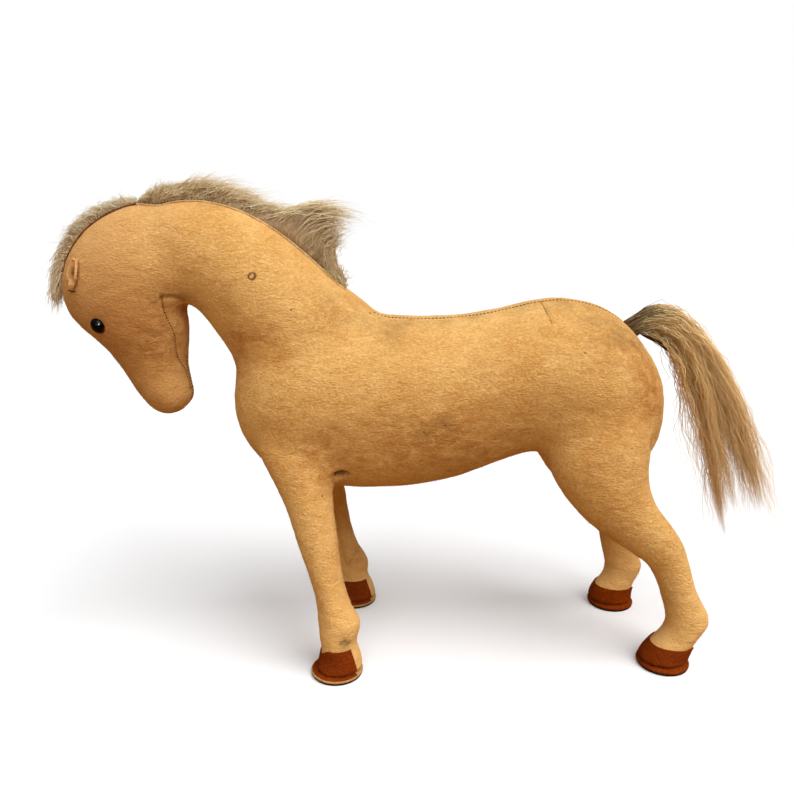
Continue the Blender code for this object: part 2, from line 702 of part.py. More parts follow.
def make_legs(trunk, trunk_room):
    """Four legs with their feet, and the wire that runs up each into the trunk."""
    hind_foot_x = CHEST_X + HIND_FOOT_X_SHARE * TRUNK_LENGTH
    fore_foot_x = CHEST_X + FORE_FOOT_X_SHARE * TRUNK_LENGTH
    for side_name, side in SIDES.items():
        fore_foot = Vector((fore_foot_x, FORE_FEET_SHIFT + side * FORE_FOOT_HALF_SPREAD, 0))
        hind_foot = Vector((hind_foot_x, side * HIND_FOOT_HALF_SPREAD, 0))
        fore = leg_sections(
            FORE_LEG_SHARES, fore_foot, side * FORE_LEG_TOP_HALF_SPREAD,
            FORE_LEG_THICKNESS, BELLY_HEIGHT + FORE_LEG_REACH, FORE_STANCES[side_name],
        )
        hind = leg_sections(
            HIND_LEG_SHARES, hind_foot, side * HIND_LEG_TOP_HALF_SPREAD,
            HIND_LEG_THICKNESS, BELLY_HEIGHT + HIND_LEG_REACH, HIND_STANCES[side_name],
        )
        make_leg(f"fore_{side_name}", fore, side, trunk, trunk_room)
        make_leg(f"hind_{side_name}", hind, side, trunk, trunk_room)


def make_leg(place_name, sections, side, trunk, trunk_room):
    """One stuffed leg, cut flat at the foot and by the trunk at its top, and bored."""
    name = f"leg_{place_name}"
    leg = round_cage(add_piece(name, cage_mesh(name, sections, LEG_SIDES), "golden_felt"))
    shape_with(leg, trunk_room)
    wire_start = make_foot(name, leg, sections, place_name)
    centres = middles(sections)[2:]
    beside_spine = side * (SPINE_WIRE_RADIUS + LEG_WIRE_RADIUS + WIRE_CLEARANCE)
    meeting = Vector((centres[-1].x, beside_spine, SPINE_Z))
    route = [wire_start, *centres, meeting, meeting + Vector((WIRE_OVERLAP, 0, 0))]
    add_piece(f"leg_wire_{place_name}", tube_mesh("wire", route, LEG_WIRE_RADIUS), "steel_wire")
    bore = tube_mesh("bore", longer(route, WIRE_CLEARANCE), LEG_WIRE_RADIUS + WIRE_CLEARANCE)
    bore_guide = add_guide(f"{name}_bore", bore)
    shape_with(leg, bore_guide)
    shape_with(trunk, bore_guide)


def make_spine(trunk, neck, head):
    """One wire from the skull through the neck to the rump, and its bore."""
    skull = Vector((SKULL_X, 0, POLL_Z - EAR_BASE_Z_SHARE * HEAD_LENGTH))
    neck_line = middles(neck_sections())
    rump = Vector((CHEST_X + SPINE_END_X_SHARE * TRUNK_LENGTH, 0, SPINE_Z))
    shoulder = Vector((WITHERS_X, 0, SPINE_Z))
    route = [skull, *reversed(neck_line[:-1]), shoulder, rump]
    add_piece("spine_wire", tube_mesh("wire", route, SPINE_WIRE_RADIUS), "steel_wire")
    bore = tube_mesh("bore", longer(route, WIRE_CLEARANCE), SPINE_WIRE_RADIUS + WIRE_CLEARANCE)
    bore_guide = add_guide("spine_bore", bore)
    for form in (trunk, neck, head):
        shape_with(form, bore_guide)


def lock_mesh(name, root, tip, thickness):
    """A lock of hair: a tapering oval form that leaves its root backwards and
    bends down to the tip along a cubic curve."""
    reach = tip - root
    leave = root + Vector((reach.x * LOCK_LEAVE_SHARE, 0, DOCK_RADIUS * LOCK_RISE_SHARE))
    arrive = tip - Vector((reach.x * LOCK_ARRIVE_SHARE, 0, reach.z * LOCK_DROP_SHARE))
    builder = bmesh.new()
    rings = []
    steps = len(LOCK_TAPER_SHARES) - 1
    for step, taper in enumerate(LOCK_TAPER_SHARES):
        t = step / steps
        blends = ((1 - t) ** 3, 3 * t * (1 - t) ** 2, 3 * t ** 2 * (1 - t), t ** 3)
        middle = sum((p * b for p, b in zip((root, leave, arrive, tip), blends)), Vector())
        slopes = ((1 - t) ** 2, 2 * t * (1 - t), t ** 2)
        along = sum((p * b for p, b in zip((leave - root, arrive - leave, tip - arrive), slopes)), Vector())
        out = along.cross(Vector((0, 1, 0))).normalized()
        ring = []
        for turn in np.linspace(0, 2 * math.pi, LOCK_SIDES, endpoint=False):
            arm = out * math.cos(turn) + Vector((0, LOCK_FLATNESS_SHARE * math.sin(turn), 0))
            ring.append(builder.verts.new(middle + arm * taper * thickness / 2))
        rings.append(ring)
    skin_rings(builder, rings)
    return finish_mesh(builder, name)


def make_tail(trunk):
    """Leather dock with a ball root that turns in the rump, and the hair behind it."""
    root, _ = skin_point(
        trunk, (CHEST_X + TRUNK_MIDDLE_X_SHARE * TRUNK_LENGTH, 0, TAIL_ROOT_Z), (1, 0, 0)
    )
    tilt = Vector((math.cos(DOCK_TILT), 0, math.sin(DOCK_TILT)))
    dock_end = root + tilt * DOCK_LENGTH
    dock = add_piece("tail_dock", ball_mesh("dock", root, ROOT_BALL_RADIUS), "dock_leather")
    dock_rod = rod_mesh("dock_rod", root, dock_end + tilt * DOCK_LENGTH, DOCK_RADIUS)
    shape_with(dock, add_guide("dock_rod", dock_rod), "UNION")
    room = TAIL_DROP + TAIL_REACH
    behind = box_mesh(
        "behind", (dock_end.x, -room, dock_end.z - room), (dock_end.x + room, room, dock_end.z + room)
    )
    shape_with(dock, add_guide("dock_end_cut", behind))
    socket = ball_mesh("socket", root, ROOT_BALL_RADIUS + GAP)
    shape_with(trunk, add_guide("tail_socket", socket))

    hair = None
    for number, (reach, drop, side, thickness) in enumerate(TAIL_LOCK_SHARES):
        hair_root = Vector((dock_end.x, 0, dock_end.z))
        tip = hair_root + Vector((reach * TAIL_REACH, side * TAIL_WIDTH / 2, -drop * TAIL_DROP))
        lock = lock_mesh("lock", hair_root, tip, thickness * TAIL_LOCK_THICKNESS)
        if hair is None:
            hair = add_piece("tail_hair", lock, "tail_hair")
        else:
            shape_with(hair, add_guide(f"tail_lock_{number}", lock), "UNION")
    before = box_mesh(
        "before",
        (dock_end.x - room, -room, dock_end.z - room),
        (dock_end.x + GAP, room, dock_end.z + room),
    )
    shape_with(hair, add_guide("hair_root_cut", before))


def outline_walk(points):
    """A function from a share of an outline's length to the place and direction there."""
    points = np.array(points)
    steps = np.linalg.norm(np.diff(points, axis=0), axis=1)
    lengths = np.concatenate(([0.0], np.cumsum(steps)))

    def walk(share):
        reach = share * lengths[-1]
        place = Vector([np.interp(reach, lengths, points[:, axis]) for axis in range(3)])
        step = lengths[-1] / len(points) / 2
        ahead = Vector([np.interp(reach + step, lengths, points[:, axis]) for axis in range(3)])
        back = Vector([np.interp(reach - step, lengths, points[:, axis]) for axis in range(3)])
        return place, (ahead - back).normalized()

    return walk


def hair_strip_mesh(name, walk, tufts, height, width, upwards):
    """A strip of hair along an outline: a wedge at each tuft, lower between tufts."""
    stations = []
    for here, after in zip(tufts, tufts[1:]):
        stations.append(here)
        middle = tuple((a + b) / 2 for a, b in zip(here, after))
        stations.append((middle[0], middle[1] * TUFT_DIP_SHARE, middle[2]))
    stations.append(tufts[-1])
    builder = bmesh.new()
    rings = []
    for place_share, tall, lean in stations:
        place, along = walk(place_share)
        out = Vector((-along.z, 0, along.x)) * upwards
        tip = place + out * tall * height + along * lean * height
        knee = place + (tip - place) * HAIR_KNEE_SHARE
        base = place - out * HAIR_ROOT_DEPTH
        ring = []
        for middle, breadth in ((base, 1), (knee, 1), (tip, HAIR_TIP_WIDTH_SHARE)):
            ring.append(builder.verts.new(middle - Vector((0, breadth * width / 2, 0))))
        for middle, breadth in ((tip, HAIR_TIP_WIDTH_SHARE), (knee, 1), (base, 1)):
            ring.append(builder.verts.new(middle + Vector((0, breadth * width / 2, 0))))
        rings.append(ring)
    skin_rings(builder, rings)
    return finish_mesh(builder, name)


def make_hair(rooms):
    """Mane along the crest and forelock down the brow, each cut by what carries it."""
    crest = [section[0] for section in neck_sections()]
    brow = [section[0] for section in head_sections()]
    first, last = MANE_SECTIONS
    mane_line = crest[first:last - 1:-1]
    mane = hair_strip_mesh(
        "mane", outline_walk(mane_line), MANE_TUFT_SHARES, MANE_HEIGHT, MANE_WIDTH, 1
    )
    first, last = FORELOCK_SECTIONS
    brow_line = brow[first:last + 1]
    forelock = hair_strip_mesh(
        "forelock", outline_walk(brow_line), FORELOCK_TUFT_SHARES, FORELOCK_HEIGHT, FORELOCK_WIDTH, -1
    )
    for name, mesh in (("mane", mane), ("forelock", forelock)):
        hair = add_piece(name, mesh, "mane_hair")
        for room in rooms:
            shape_with(hair, room)


def main():
    """Make the horse, larger forms first."""
    trunk, trunk_room = make_trunk()
    neck, neck_room = make_neck(trunk_room)
    head, head_room = make_head()
    make_tail(trunk)
    make_eyes(head)
    make_ears(head)
    shape_with(head, neck_room)
    make_hair((trunk_room, neck_room, head_room))
    make_legs(trunk, trunk_room)
    make_spine(trunk, neck, head)


for leftover in list(bpy.data.objects):
    bpy.data.objects.remove(leftover, do_unlink=True)
PIECES = make_collection("stuffed_horse")
GUIDES = make_collection("cutters")
main()
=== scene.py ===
"""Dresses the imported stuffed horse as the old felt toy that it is: a golden felt cover
over firm wood wool, brown felt hooves, glass eyes, and real hair for mane and tail."""

import math

import bmesh
import bpy
import numpy as np
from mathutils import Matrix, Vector
from mathutils.bvhtree import BVHTree


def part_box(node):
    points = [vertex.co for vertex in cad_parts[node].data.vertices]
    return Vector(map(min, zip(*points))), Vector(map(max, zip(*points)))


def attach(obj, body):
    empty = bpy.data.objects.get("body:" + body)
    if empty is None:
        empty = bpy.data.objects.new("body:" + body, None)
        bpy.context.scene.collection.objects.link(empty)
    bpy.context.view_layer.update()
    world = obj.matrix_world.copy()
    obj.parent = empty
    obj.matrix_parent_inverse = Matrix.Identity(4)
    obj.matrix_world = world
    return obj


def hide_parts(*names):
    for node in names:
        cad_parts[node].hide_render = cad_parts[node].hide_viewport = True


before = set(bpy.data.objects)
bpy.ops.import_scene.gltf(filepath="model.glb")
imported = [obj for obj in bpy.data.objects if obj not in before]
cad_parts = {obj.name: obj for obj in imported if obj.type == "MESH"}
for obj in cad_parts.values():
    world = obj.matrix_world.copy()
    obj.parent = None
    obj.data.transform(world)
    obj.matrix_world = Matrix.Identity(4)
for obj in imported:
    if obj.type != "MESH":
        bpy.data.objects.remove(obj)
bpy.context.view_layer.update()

# Camera. It stands where the photograph was taken from, at the horse's left side and a
# little above its back. It comes first, because seams and marks are placed by what it
# sees.
PHOTO_SIDE = 794                      # pixels
FOCAL_LENGTH = 700                    # pixels
SENSOR_WIDTH = 36                     # mm
CAMERA_PLACE = np.array((-0.0124, -0.3476, 0.2200))
CAMERA_TILT = math.radians(13.96)     # downwards

camera_data = bpy.data.cameras.new("camera")
camera_data.sensor_width = SENSOR_WIDTH
camera_data.lens = SENSOR_WIDTH * FOCAL_LENGTH / PHOTO_SIDE
camera_data.clip_start = 0.01


def put_in_scene(name, data):
    """A new object of the scene with its data."""
    made = bpy.data.objects.new(name, data)
    bpy.context.scene.collection.objects.link(made)
    return made


camera = put_in_scene("camera", camera_data)
camera.location = CAMERA_PLACE
camera.rotation_euler = (math.pi / 2 - CAMERA_TILT, 0, 0)
bpy.context.scene.camera = camera


def sight_lines(pixels):
    """Directions from the camera through pixels of the photograph: straight ahead,
    plus the pixel's offset from the middle over the focal length, right and down."""
    across, down = (np.array(pixels, float).T - PHOTO_SIDE / 2) / FOCAL_LENGTH
    ahead = np.array((0, math.cos(CAMERA_TILT), -math.sin(CAMERA_TILT)))
    up = np.array((0, math.sin(CAMERA_TILT), math.cos(CAMERA_TILT)))
    lines = ahead + across[:, None] * np.array((1, 0, 0)) - down[:, None] * up
    return lines / np.linalg.norm(lines, axis=1)[:, None]


# Felt cover. One skin of woollen felt, cut as two sides and a gusset, sewn, and packed
# hard with wood wool. It swells and tapers over the trunk, neck, head and legs.
# The stuffed forms are given as sections: two outline points and a width.
BELLY_HEIGHT = 0.0885
CHEST_X = -0.0957
TRUNK_LENGTH, TRUNK_DEPTH, TRUNK_WIDTH = 0.2203, 0.0870, 0.0660
NECK_REACH, NECK_RISE, NECK_WIDTH = 0.0900, 0.0455, 0.0480
HEAD_LENGTH, HEAD_DEPTH, HEAD_WIDTH = 0.1060, 0.0600, 0.0400
FORE_LEG_HEIGHT, HIND_LEG_HEIGHT = BELLY_HEIGHT + 0.0400, BELLY_HEIGHT + 0.0480
FORE_LEG_THICKNESS, HIND_LEG_THICKNESS = 0.0180, 0.0190
FORE_LEG_TOP_HALF_SPREAD, HIND_LEG_TOP_HALF_SPREAD = 0.0140, 0.0150
WITHERS_X = CHEST_X + 0.282 * TRUNK_LENGTH
WITHERS_Z = BELLY_HEIGHT + 1.120 * TRUNK_DEPTH
POLL_Z = WITHERS_Z + NECK_RISE
THROAT_X = WITHERS_X - 0.926 * NECK_REACH
FORE_FOOT_X = CHEST_X + 0.240 * TRUNK_LENGTH
HIND_FOOT_X = CHEST_X + TRUNK_LENGTH
# Foot of each leg: x, y, how far it stands ahead, the share of the leg's height over
# which that fades out, and how far the leg bows ahead below there
FORE_FEET = {
    "left": (FORE_FOOT_X, -0.0373, 0.0, 0.22, 0.0),
    "right": (FORE_FOOT_X, 0.0333, -0.0045, 0.22, 0.0),
}
HIND_FEET = {
    "left": (HIND_FOOT_X, -0.0300, 0.0, 0.58, 0.0),
    "right": (HIND_FOOT_X, 0.0300, 0.0080, 0.58, 0.0080),
}
SIDES = {"left": -1, "right": 1}

TRUNK_SHARES = (
    (0.006, 0.640, 0.400, 0.30),
    (0.030, 0.840, 0.235, 0.62),
    (0.080, 0.975, 0.100, 0.84),
    (0.150, 1.030, 0.005, 0.96),
    (0.260, 1.030, -0.030, 1.00),
    (0.390, 1.003, -0.026, 1.02),
    (0.510, 1.004, 0.022, 1.00),
    (0.615, 1.044, 0.140, 0.96),
    (0.715, 1.116, 0.222, 0.96),
    (0.810, 1.088, 0.175, 0.96),
    (0.885, 1.000, 0.105, 0.86),
    (0.950, 0.800, 0.090, 0.68),
    (0.990, 0.640, 0.270, 0.34),
)
NECK_SHARES = (
    (-0.20, -0.31, 0.56, -1.19, 0.80),
    (-0.06, -0.05, 0.64, -0.95, 1.05),
    (0.07, 0.12, 0.672, -0.74, 1.00),
    (0.25, 0.46, 0.722, -0.55, 0.92),
    (0.45, 0.77, 0.778, -0.38, 0.84),
    (0.65, 0.95, 0.830, -0.23, 0.77),
    (0.83, 1.01, 0.880, -0.13, 0.72),
    (1.00, 0.98, 0.925, -0.09, 0.68),
    (1.15, 0.83, 0.975, -0.05, 0.58),
    (1.20, 0.60, 1.040, 0.10, 0.36),
)
HEAD_SHARES = (
    (0.02, 0.066, -0.033, 0.368, 0.62),
    (0.26, -0.004, 0.000, 0.425, 0.80),
    (0.49, 0.040, 0.017, 0.453, 0.92),
    (0.73, 0.108, 0.008, 0.470, 0.98),
    (0.93, 0.240, 0.000, 0.515, 1.00),
    (1.02, 0.400, 0.000, 0.575, 0.98),
    (0.965, 0.535, 0.005, 0.645, 0.92),
    (0.755, 0.625, 0.030, 0.717, 0.80),
    (0.600, 0.735, 0.033, 0.792, 0.71),
    (0.505, 0.845, 0.005, 0.868, 0.67),
    (0.410, 0.940, -0.006, 0.928, 0.64),
    (0.290, 1.000, 0.110, 0.995, 0.38),
)
FORE_LEG_SHARES = (
    (-0.57, -0.035, 0.72, -0.035, 1.14),
    (-0.55, 0.027, 0.74, 0.027, 1.13),
    (-0.39, 0.093, 0.70, 0.090, 1.00),
    (-0.49, 0.145, 0.50, 0.140, 0.91),
    (-0.51, 0.200, 0.78, 0.200, 0.97),
    (-0.52, 0.245, 0.58, 0.245, 0.92),
    (-0.56, 0.300, 0.37, 0.300, 0.86),
    (-0.72, 0.395, 0.20, 0.395, 0.86),
    (-1.05, 0.521, 0.10, 0.521, 0.94),
    (-1.26, 0.640, -0.02, 0.640, 1.06),
    (-1.74, 0.774, -0.12, 0.774, 1.22),
    (-2.30, 0.905, -0.10, 0.905, 1.34),
    (-2.10, 1.000, -0.50, 1.000, 1.00),
)
HIND_LEG_SHARES = (
    (-0.68, -0.035, 0.56, -0.035, 1.08),
    (-0.66, 0.026, 0.58, 0.026, 1.07),
    (-0.50, 0.072, 0.69, 0.070, 0.96),
    (-0.05, 0.130, 0.91, 0.125, 0.90),
    (0.03, 0.180, 1.22, 0.178, 0.95),
    (-0.08, 0.232, 1.00, 0.228, 0.87),
    (-0.27, 0.315, 0.70, 0.305, 0.82),
    (-0.55, 0.395, 0.50, 0.405, 0.82),
    (-0.98, 0.432, 0.30, 0.490, 0.90),
    (-1.60, 0.488, -0.12, 0.566, 1.05),
    (-2.20, 0.545, -0.56, 0.640, 1.22),
    (-2.90, 0.650, -0.74, 0.745, 1.42),
    (-3.48, 0.790, -0.56, 0.870, 1.56),
    (-3.00, 0.990, -0.70, 1.010, 1.26),
)


def spread(values, steps):
    """Even steps along a uniform cubic B-spline through rows of control values, whose
    end rows are tripled so that the spline starts and stops on them."""
    rows = np.array(values, float)
    rows = np.concatenate([rows[:1]] * 2 + [rows] + [rows[-1:]] * 2)
    place = np.linspace(0, len(rows) - 3, steps)
    first = np.minimum(place.astype(int), len(rows) - 4)
    t = (place - first)[:, None]
    weights = (
        (1 - t) ** 3,
        3 * t ** 3 - 6 * t ** 2 + 4,
        -3 * t ** 3 + 3 * t ** 2 + 3 * t + 1,
        t ** 3,
    )
    return sum(weight * rows[first + k] for k, weight in enumerate(weights)) / 6


def section_rows(x, y, z, half_width):
    """Rows of a form's sections: two outline points, whose x and z have a column each,
    and a half width."""
    return np.stack((x[:, 0], y, z[:, 0], x[:, 1], y, z[:, 1], half_width), 1)


def body_sections(shares, origin_x, origin_z, length, height, width):
    """Sections of a form on the middle plane: its outline points are shares of its length
    and height from its origin."""
    rows = np.array(shares)
    x, z = origin_x + rows[:, 0:3:2] * length, origin_z + rows[:, 1:4:2] * height
    return section_rows(x, np.zeros(len(rows)), z, rows[:, 4] * width / 2)


def leg_sections(shares, foot, top_half_spread, thickness, height, side):
    """Sections of a leg: upright at the foot, and curved inwards by the square of the
    height. The advance fades by 1 - f² and the bow adds 4f(1 - f), f being the height
    over that of the fade."""
    rows = np.array(shares)
    foot_x, foot_y, advance, fade, bow = foot
    rise = np.maximum((rows[:, 1] + rows[:, 3]) / 2, 0)
    across = foot_y + (side * top_half_spread - foot_y) * rise ** 2
    faded = np.minimum(rise / fade, 1)
    along = foot_x - advance * (1 - faded ** 2) - 4 * bow * faded * (1 - faded)
    x, z = along[:, None] + rows[:, 0:3:2] * thickness, rows[:, 1:4:2] * height
    return section_rows(x, across, z, rows[:, 4] * thickness / 2)


def full_turn(steps):
    """Even angles once round."""
    return np.linspace(0, 2 * math.pi, steps, endpoint=False)


def form_surface(sections, steps, around):
    """Points of a stuffed form: an oval round each pair of outline points, whose places
    and sizes run along a B-spline and shrink to a point at both ends."""
    fronts, rears = sections[:, 0:3], sections[:, 3:6]
    closed = np.hstack(((fronts + rears) / 2, (fronts - rears) / 2, sections[:, 6:7]))
    ends = closed[[0, -1]].copy()
    ends[:, 3:] = 0
    rings = spread(np.vstack((ends[:1], closed, ends[1:])), steps)[:, None]
    turn = full_turn(around)[:, None]
    reach = rings[..., 3:6] * np.cos(turn)
    breadth = rings[..., 6:7] * np.sin(turn) * np.array((0, 1, 0))
    return rings[..., 0:3] + reach + breadth


def grid_faces(rows, columns, joined=True):
    """Four-sided faces of a grid of points, whose last column may join its first."""
    here = np.arange(columns if joined else columns - 1)
    beside = (here + 1) % columns
    base = np.arange(rows - 1)[:, None] * columns
    corners = (base + here, base + beside, base + columns + beside, base + columns + here)
    return np.stack(corners, -1).reshape(-1, 4)


def repeated(faces, copies, points_each):
    """The faces of one copy, repeated for every copy's own points."""
    return (faces[None] + np.arange(copies)[:, None, None] * points_each).reshape(-1, faces.shape[1])


def give(piece, name, values):
    """Keeps one number per point of the piece under a name that its material reads."""
    layer = piece.data.attributes.new(name, "FLOAT", "POINT")
    layer.data.foreach_set("value", np.asarray(values, float))


def new_piece(name, points, faces, material=None, smooth=True, merge=1e-7, **numbers):
    """A mesh object from arrays of points, of faces and of numbers per point. Doubles are
    merged and faces turned outwards."""
    mesh = bpy.data.meshes.new(name)
    mesh.from_pydata(np.reshape(points, (-1, 3)).tolist(), [], np.asarray(faces).tolist())
    piece = put_in_scene(name, mesh)
    for number_name, values in numbers.items():
        give(piece, number_name, values)
    cleaner = bmesh.new()
    cleaner.from_mesh(mesh)
    bmesh.ops.remove_doubles(cleaner, verts=cleaner.verts, dist=merge)
    bmesh.ops.recalc_face_normals(cleaner, faces=cleaner.faces)
    cleaner.to_mesh(mesh)
    cleaner.free()
    if smooth:
        mesh.shade_smooth()
    if material:
        mesh.materials.append(material)
    return piece


FORM_STEPS, FORM_AROUND = 140, 64
LEG_FORMS = {                         # shares, feet, half spread at the top, thickness, height
    "fore": (FORE_LEG_SHARES, FORE_FEET, FORE_LEG_TOP_HALF_SPREAD, FORE_LEG_THICKNESS, FORE_LEG_HEIGHT),
    "hind": (HIND_LEG_SHARES, HIND_FEET, HIND_LEG_TOP_HALF_SPREAD, HIND_LEG_THICKNESS, HIND_LEG_HEIGHT),
}
LEGS = {
    f"{kind}_{side_name}": leg_sections(shares, feet[side_name], *sizes, side)
    for side_name, side in SIDES.items()
    for kind, (shares, feet, *sizes) in LEG_FORMS.items()
}
trunk_shares = np.array(TRUNK_SHARES)[:, (0, 1, 0, 2, 3)]   # both points at the same share along
forms = [
    body_sections(trunk_shares, CHEST_X, BELLY_HEIGHT, TRUNK_LENGTH, TRUNK_DEPTH, TRUNK_WIDTH),
    body_sections(NECK_SHARES, WITHERS_X, WITHERS_Z, -NECK_REACH, NECK_RISE, NECK_WIDTH),
    body_sections(HEAD_SHARES, THROAT_X, POLL_Z, -HEAD_DEPTH, -HEAD_LENGTH, HEAD_WIDTH),
    *LEGS.values(),
]
form_points = [form_surface(form, FORM_STEPS, FORM_AROUND) for form in forms]
form_faces = repeated(grid_faces(FORM_STEPS, FORM_AROUND), len(forms), FORM_STEPS * FORM_AROUND)
cover = new_piece("felt_cover", form_points, form_faces)

VOXEL = 0.0020
CREASE_ROUNDS, CREASE_STEP = 90, 0.6  # of filling, each by this share of the way
SEAMLESS_GAIN = 1.4                   # so that the middle of each place is filled in full
SOLE_TOP_Z = 0.0035                   # where the feet are closed by their soles


def finish_step(piece, name):
    """Applies one modifier of the piece."""
    with bpy.context.temp_override(object=piece, active_object=piece, selected_objects=[piece]):
        bpy.ops.object.modifier_apply(modifier=name)


def shape_by(piece, kind, **settings):
    """Adds a modifier with its settings to the piece and applies it."""
    step = piece.modifiers.new(kind, kind)
    for name, value in settings.items():
        setattr(step, name, value)
    finish_step(piece, step.name)


def numbers_of(parts, name, width, kind=float):
    """What the parts of a mesh keep under a name, as rows of numbers."""
    values = np.empty(len(parts) * width, kind)
    parts.foreach_get(name, values)
    return values.reshape(-1, width)


def points_of(piece):
    return numbers_of(piece.data.vertices, "co", 3)


def normals_of(piece):
    return numbers_of(piece.data.vertices, "normal", 3)


def move_points(piece, points):
    piece.data.vertices.foreach_set("co", np.asarray(points, float).ravel())
    piece.data.update()


def nearness(points, places, reach):
    """1 at the nearest of the places and falling off as a bell of the distance over
    the reach."""
    gaps = np.stack([np.linalg.norm(points - place, axis=1) for place in np.atleast_2d(places)])
    return np.exp(-(gaps.min(0) / reach) ** 2)


def fill_creases(piece, weights, rounds):
    """Moves each point towards the middle of its neighbours, by its weight, but only
    where that is outwards, so that a crease between two forms fills up to a curve."""
    ends = numbers_of(piece.data.edges, "vertices", 2, int)
    count = np.bincount(ends.ravel(), minlength=len(weights))[:, None]
    for _ in range(rounds):
        points = points_of(piece)
        middles = np.zeros_like(points)
        for axis in range(3):
            middles[:, axis] = np.bincount(ends[:, 0], points[ends[:, 1], axis], len(points))
            middles[:, axis] += np.bincount(ends[:, 1], points[ends[:, 0], axis], len(points))
        shift = middles / count - points
        outwards = (shift * normals_of(piece)).sum(1)
        move_points(piece, points + shift * (weights * (outwards > 0))[:, None] * CREASE_STEP)


shape_by(cover, "REMESH", mode="VOXEL", voxel_size=VOXEL)

# The outer sides of legs and shoulders are cut in one with the body, so no crease
# parts them. Each place is x, half spread, z and reach.
SEAMLESS_PLACES = (
    (-0.098, 0.000, 0.178, 0.034),
    (-0.060, 0.020, 0.172, 0.034),
    (-0.030, 0.012, 0.186, 0.026),
    (-0.084, 0.022, 0.156, 0.026),
    (-0.128, 0.019, 0.205, 0.026),
    (-0.132, 0.006, 0.228, 0.022),
    (-0.058, 0.030, 0.108, 0.028),
    (-0.078, 0.020, 0.106, 0.020),
    (0.082, 0.030, 0.122, 0.032),
    (0.112, 0.026, 0.120, 0.026),
)
seamless = np.zeros(len(cover.data.vertices))
cover_points = points_of(cover)
for x, half_spread, z, reach in SEAMLESS_PLACES:
    pair = [(x, side * half_spread, z) for side in SIDES.values()]
    seamless = np.maximum(seamless, nearness(cover_points, pair, reach))
fill_creases(cover, np.minimum(seamless * SEAMLESS_GAIN, 1), CREASE_ROUNDS)
shape_by(cover, "SMOOTH", factor=0.5, iterations=4)


def press_full(piece, pressure, frames, limit):
    """Lets Blender's cloth stretch under the pressure of the stuffing, and keeps every
    point within the limit of where it was."""
    before = points_of(piece)
    cloth = piece.modifiers.new("stuffing", "CLOTH")
    cloth.settings.quality = 4
    cloth.settings.use_pressure = True
    cloth.settings.uniform_pressure_force = pressure
    cloth.settings.effector_weights.gravity = 0
    cloth.point_cache.frame_end = frames
    for step in range(1, frames + 1):
        bpy.context.scene.frame_set(step)
    finish_step(piece, "stuffing")
    bpy.context.scene.frame_set(1)
    shift = points_of(piece) - before
    size = np.linalg.norm(shift, axis=1)[:, None]
    move_points(piece, before + shift * np.minimum(1, limit / np.maximum(size, 1e-9)))


press_full(cover, pressure=4, frames=20, limit=0.0008)

# The feet are cut flat where the soles close them.
cutter = bmesh.new()
cutter.from_mesh(cover.data)
cut = bmesh.ops.bisect_plane(
    cutter, geom=[*cutter.verts, *cutter.edges, *cutter.faces],
    plane_co=(0, 0, SOLE_TOP_Z), plane_no=(0, 0, 1), clear_inner=True,
)
rims = [part for part in cut["geom_cut"] if isinstance(part, bmesh.types.BMEdge)]
bmesh.ops.holes_fill(cutter, edges=rims)
cutter.to_mesh(cover.data)
cutter.free()

shape_by(cover, "SUBSURF", levels=1, render_levels=1)

# The gap between jaw and neck reaches up to a narrow point in the photograph.
THROAT_PLACE = (-0.1141, 0, 0.1786)
THROAT_REACH = 0.0046
THROAT_SHIFT = (-0.0030, 0, 0.0026)
cover_points = points_of(cover)
throat = nearness(cover_points * (1, 0.5, 1), THROAT_PLACE, THROAT_REACH)
move_points(cover, cover_points + throat[:, None] * THROAT_SHIFT)

# Seams of the cover. It is sewn inside out along the back, the jaws, the chest and the
# legs, so each seam is a shallow valley. All but those of the legs show dark stitches.
# Lines are pixels of the photograph, where the camera sees them.
JAW_SEAM = (
    (162, 297), (163, 306), (165, 313), (168, 320), (172, 328), (175, 334), (176, 342),
    (176, 350), (178, 358), (182, 364), (186, 369), (188, 375), (190, 383), (191, 389),
)
THROAT_FOLD = ((162, 298), (169, 297), (175, 297), (180, 299), (185, 302))
SEEN_SEAMS = {
    "jaw_left": JAW_SEAM,
    "cross": ((540, 301), (544, 307), (548, 315), (552, 323)),
    "fore_leg_left": ((331, 478), (336, 510), (341, 545), (346, 575), (352, 604)),
}
MET_SEAMS = {                         # first and last start, their number, the way to the cover
    "back": ((-0.024, -0.0040, 0.3), (0.104, -0.0040, 0.3), 40, (0, 0, -1)),
    "belly": ((-0.040, 0, 0.02), (0.070, 0, 0.02), 30, (0, 0, 1)),
    "chest": ((-0.140, 0, 0.110), (-0.140, 0, 0.155), 20, (1, 0, 0)),
    "rump": ((0.2, 0, 0.100), (0.2, 0, 0.158), 20, (-1, 0, 0)),
}
SEAM_STEP = 0.0008
SEAM_STOPS = 60                       # of the spline that makes a line smooth
SEAM_NEAR = 0.006                     # as far as distances from a seam are measured

skin = BVHTree.FromObject(cover, bpy.context.evaluated_depsgraph_get())


def seen_at(pixels):
    """Points of the cover that the camera sees at pixels of the photograph."""
    eye = Vector(CAMERA_PLACE)
    hits = [skin.ray_cast(eye, Vector(line))[0] for line in sight_lines(pixels)]
    return np.array([hit for hit in hits if hit])


def met_from(starts, direction):
    """Points of the cover met from starting points along one direction."""
    hits = [skin.ray_cast(Vector(start), Vector(direction))[0] for start in starts]
    return np.array([hit for hit in hits if hit])


def on_skin(points):
    """The cover's points nearest to the given ones, and its outward directions there."""
    found = [skin.find_nearest(Vector(point)) for point in points]
    return np.array([hit[0] for hit in found]), np.array([hit[1] for hit in found])


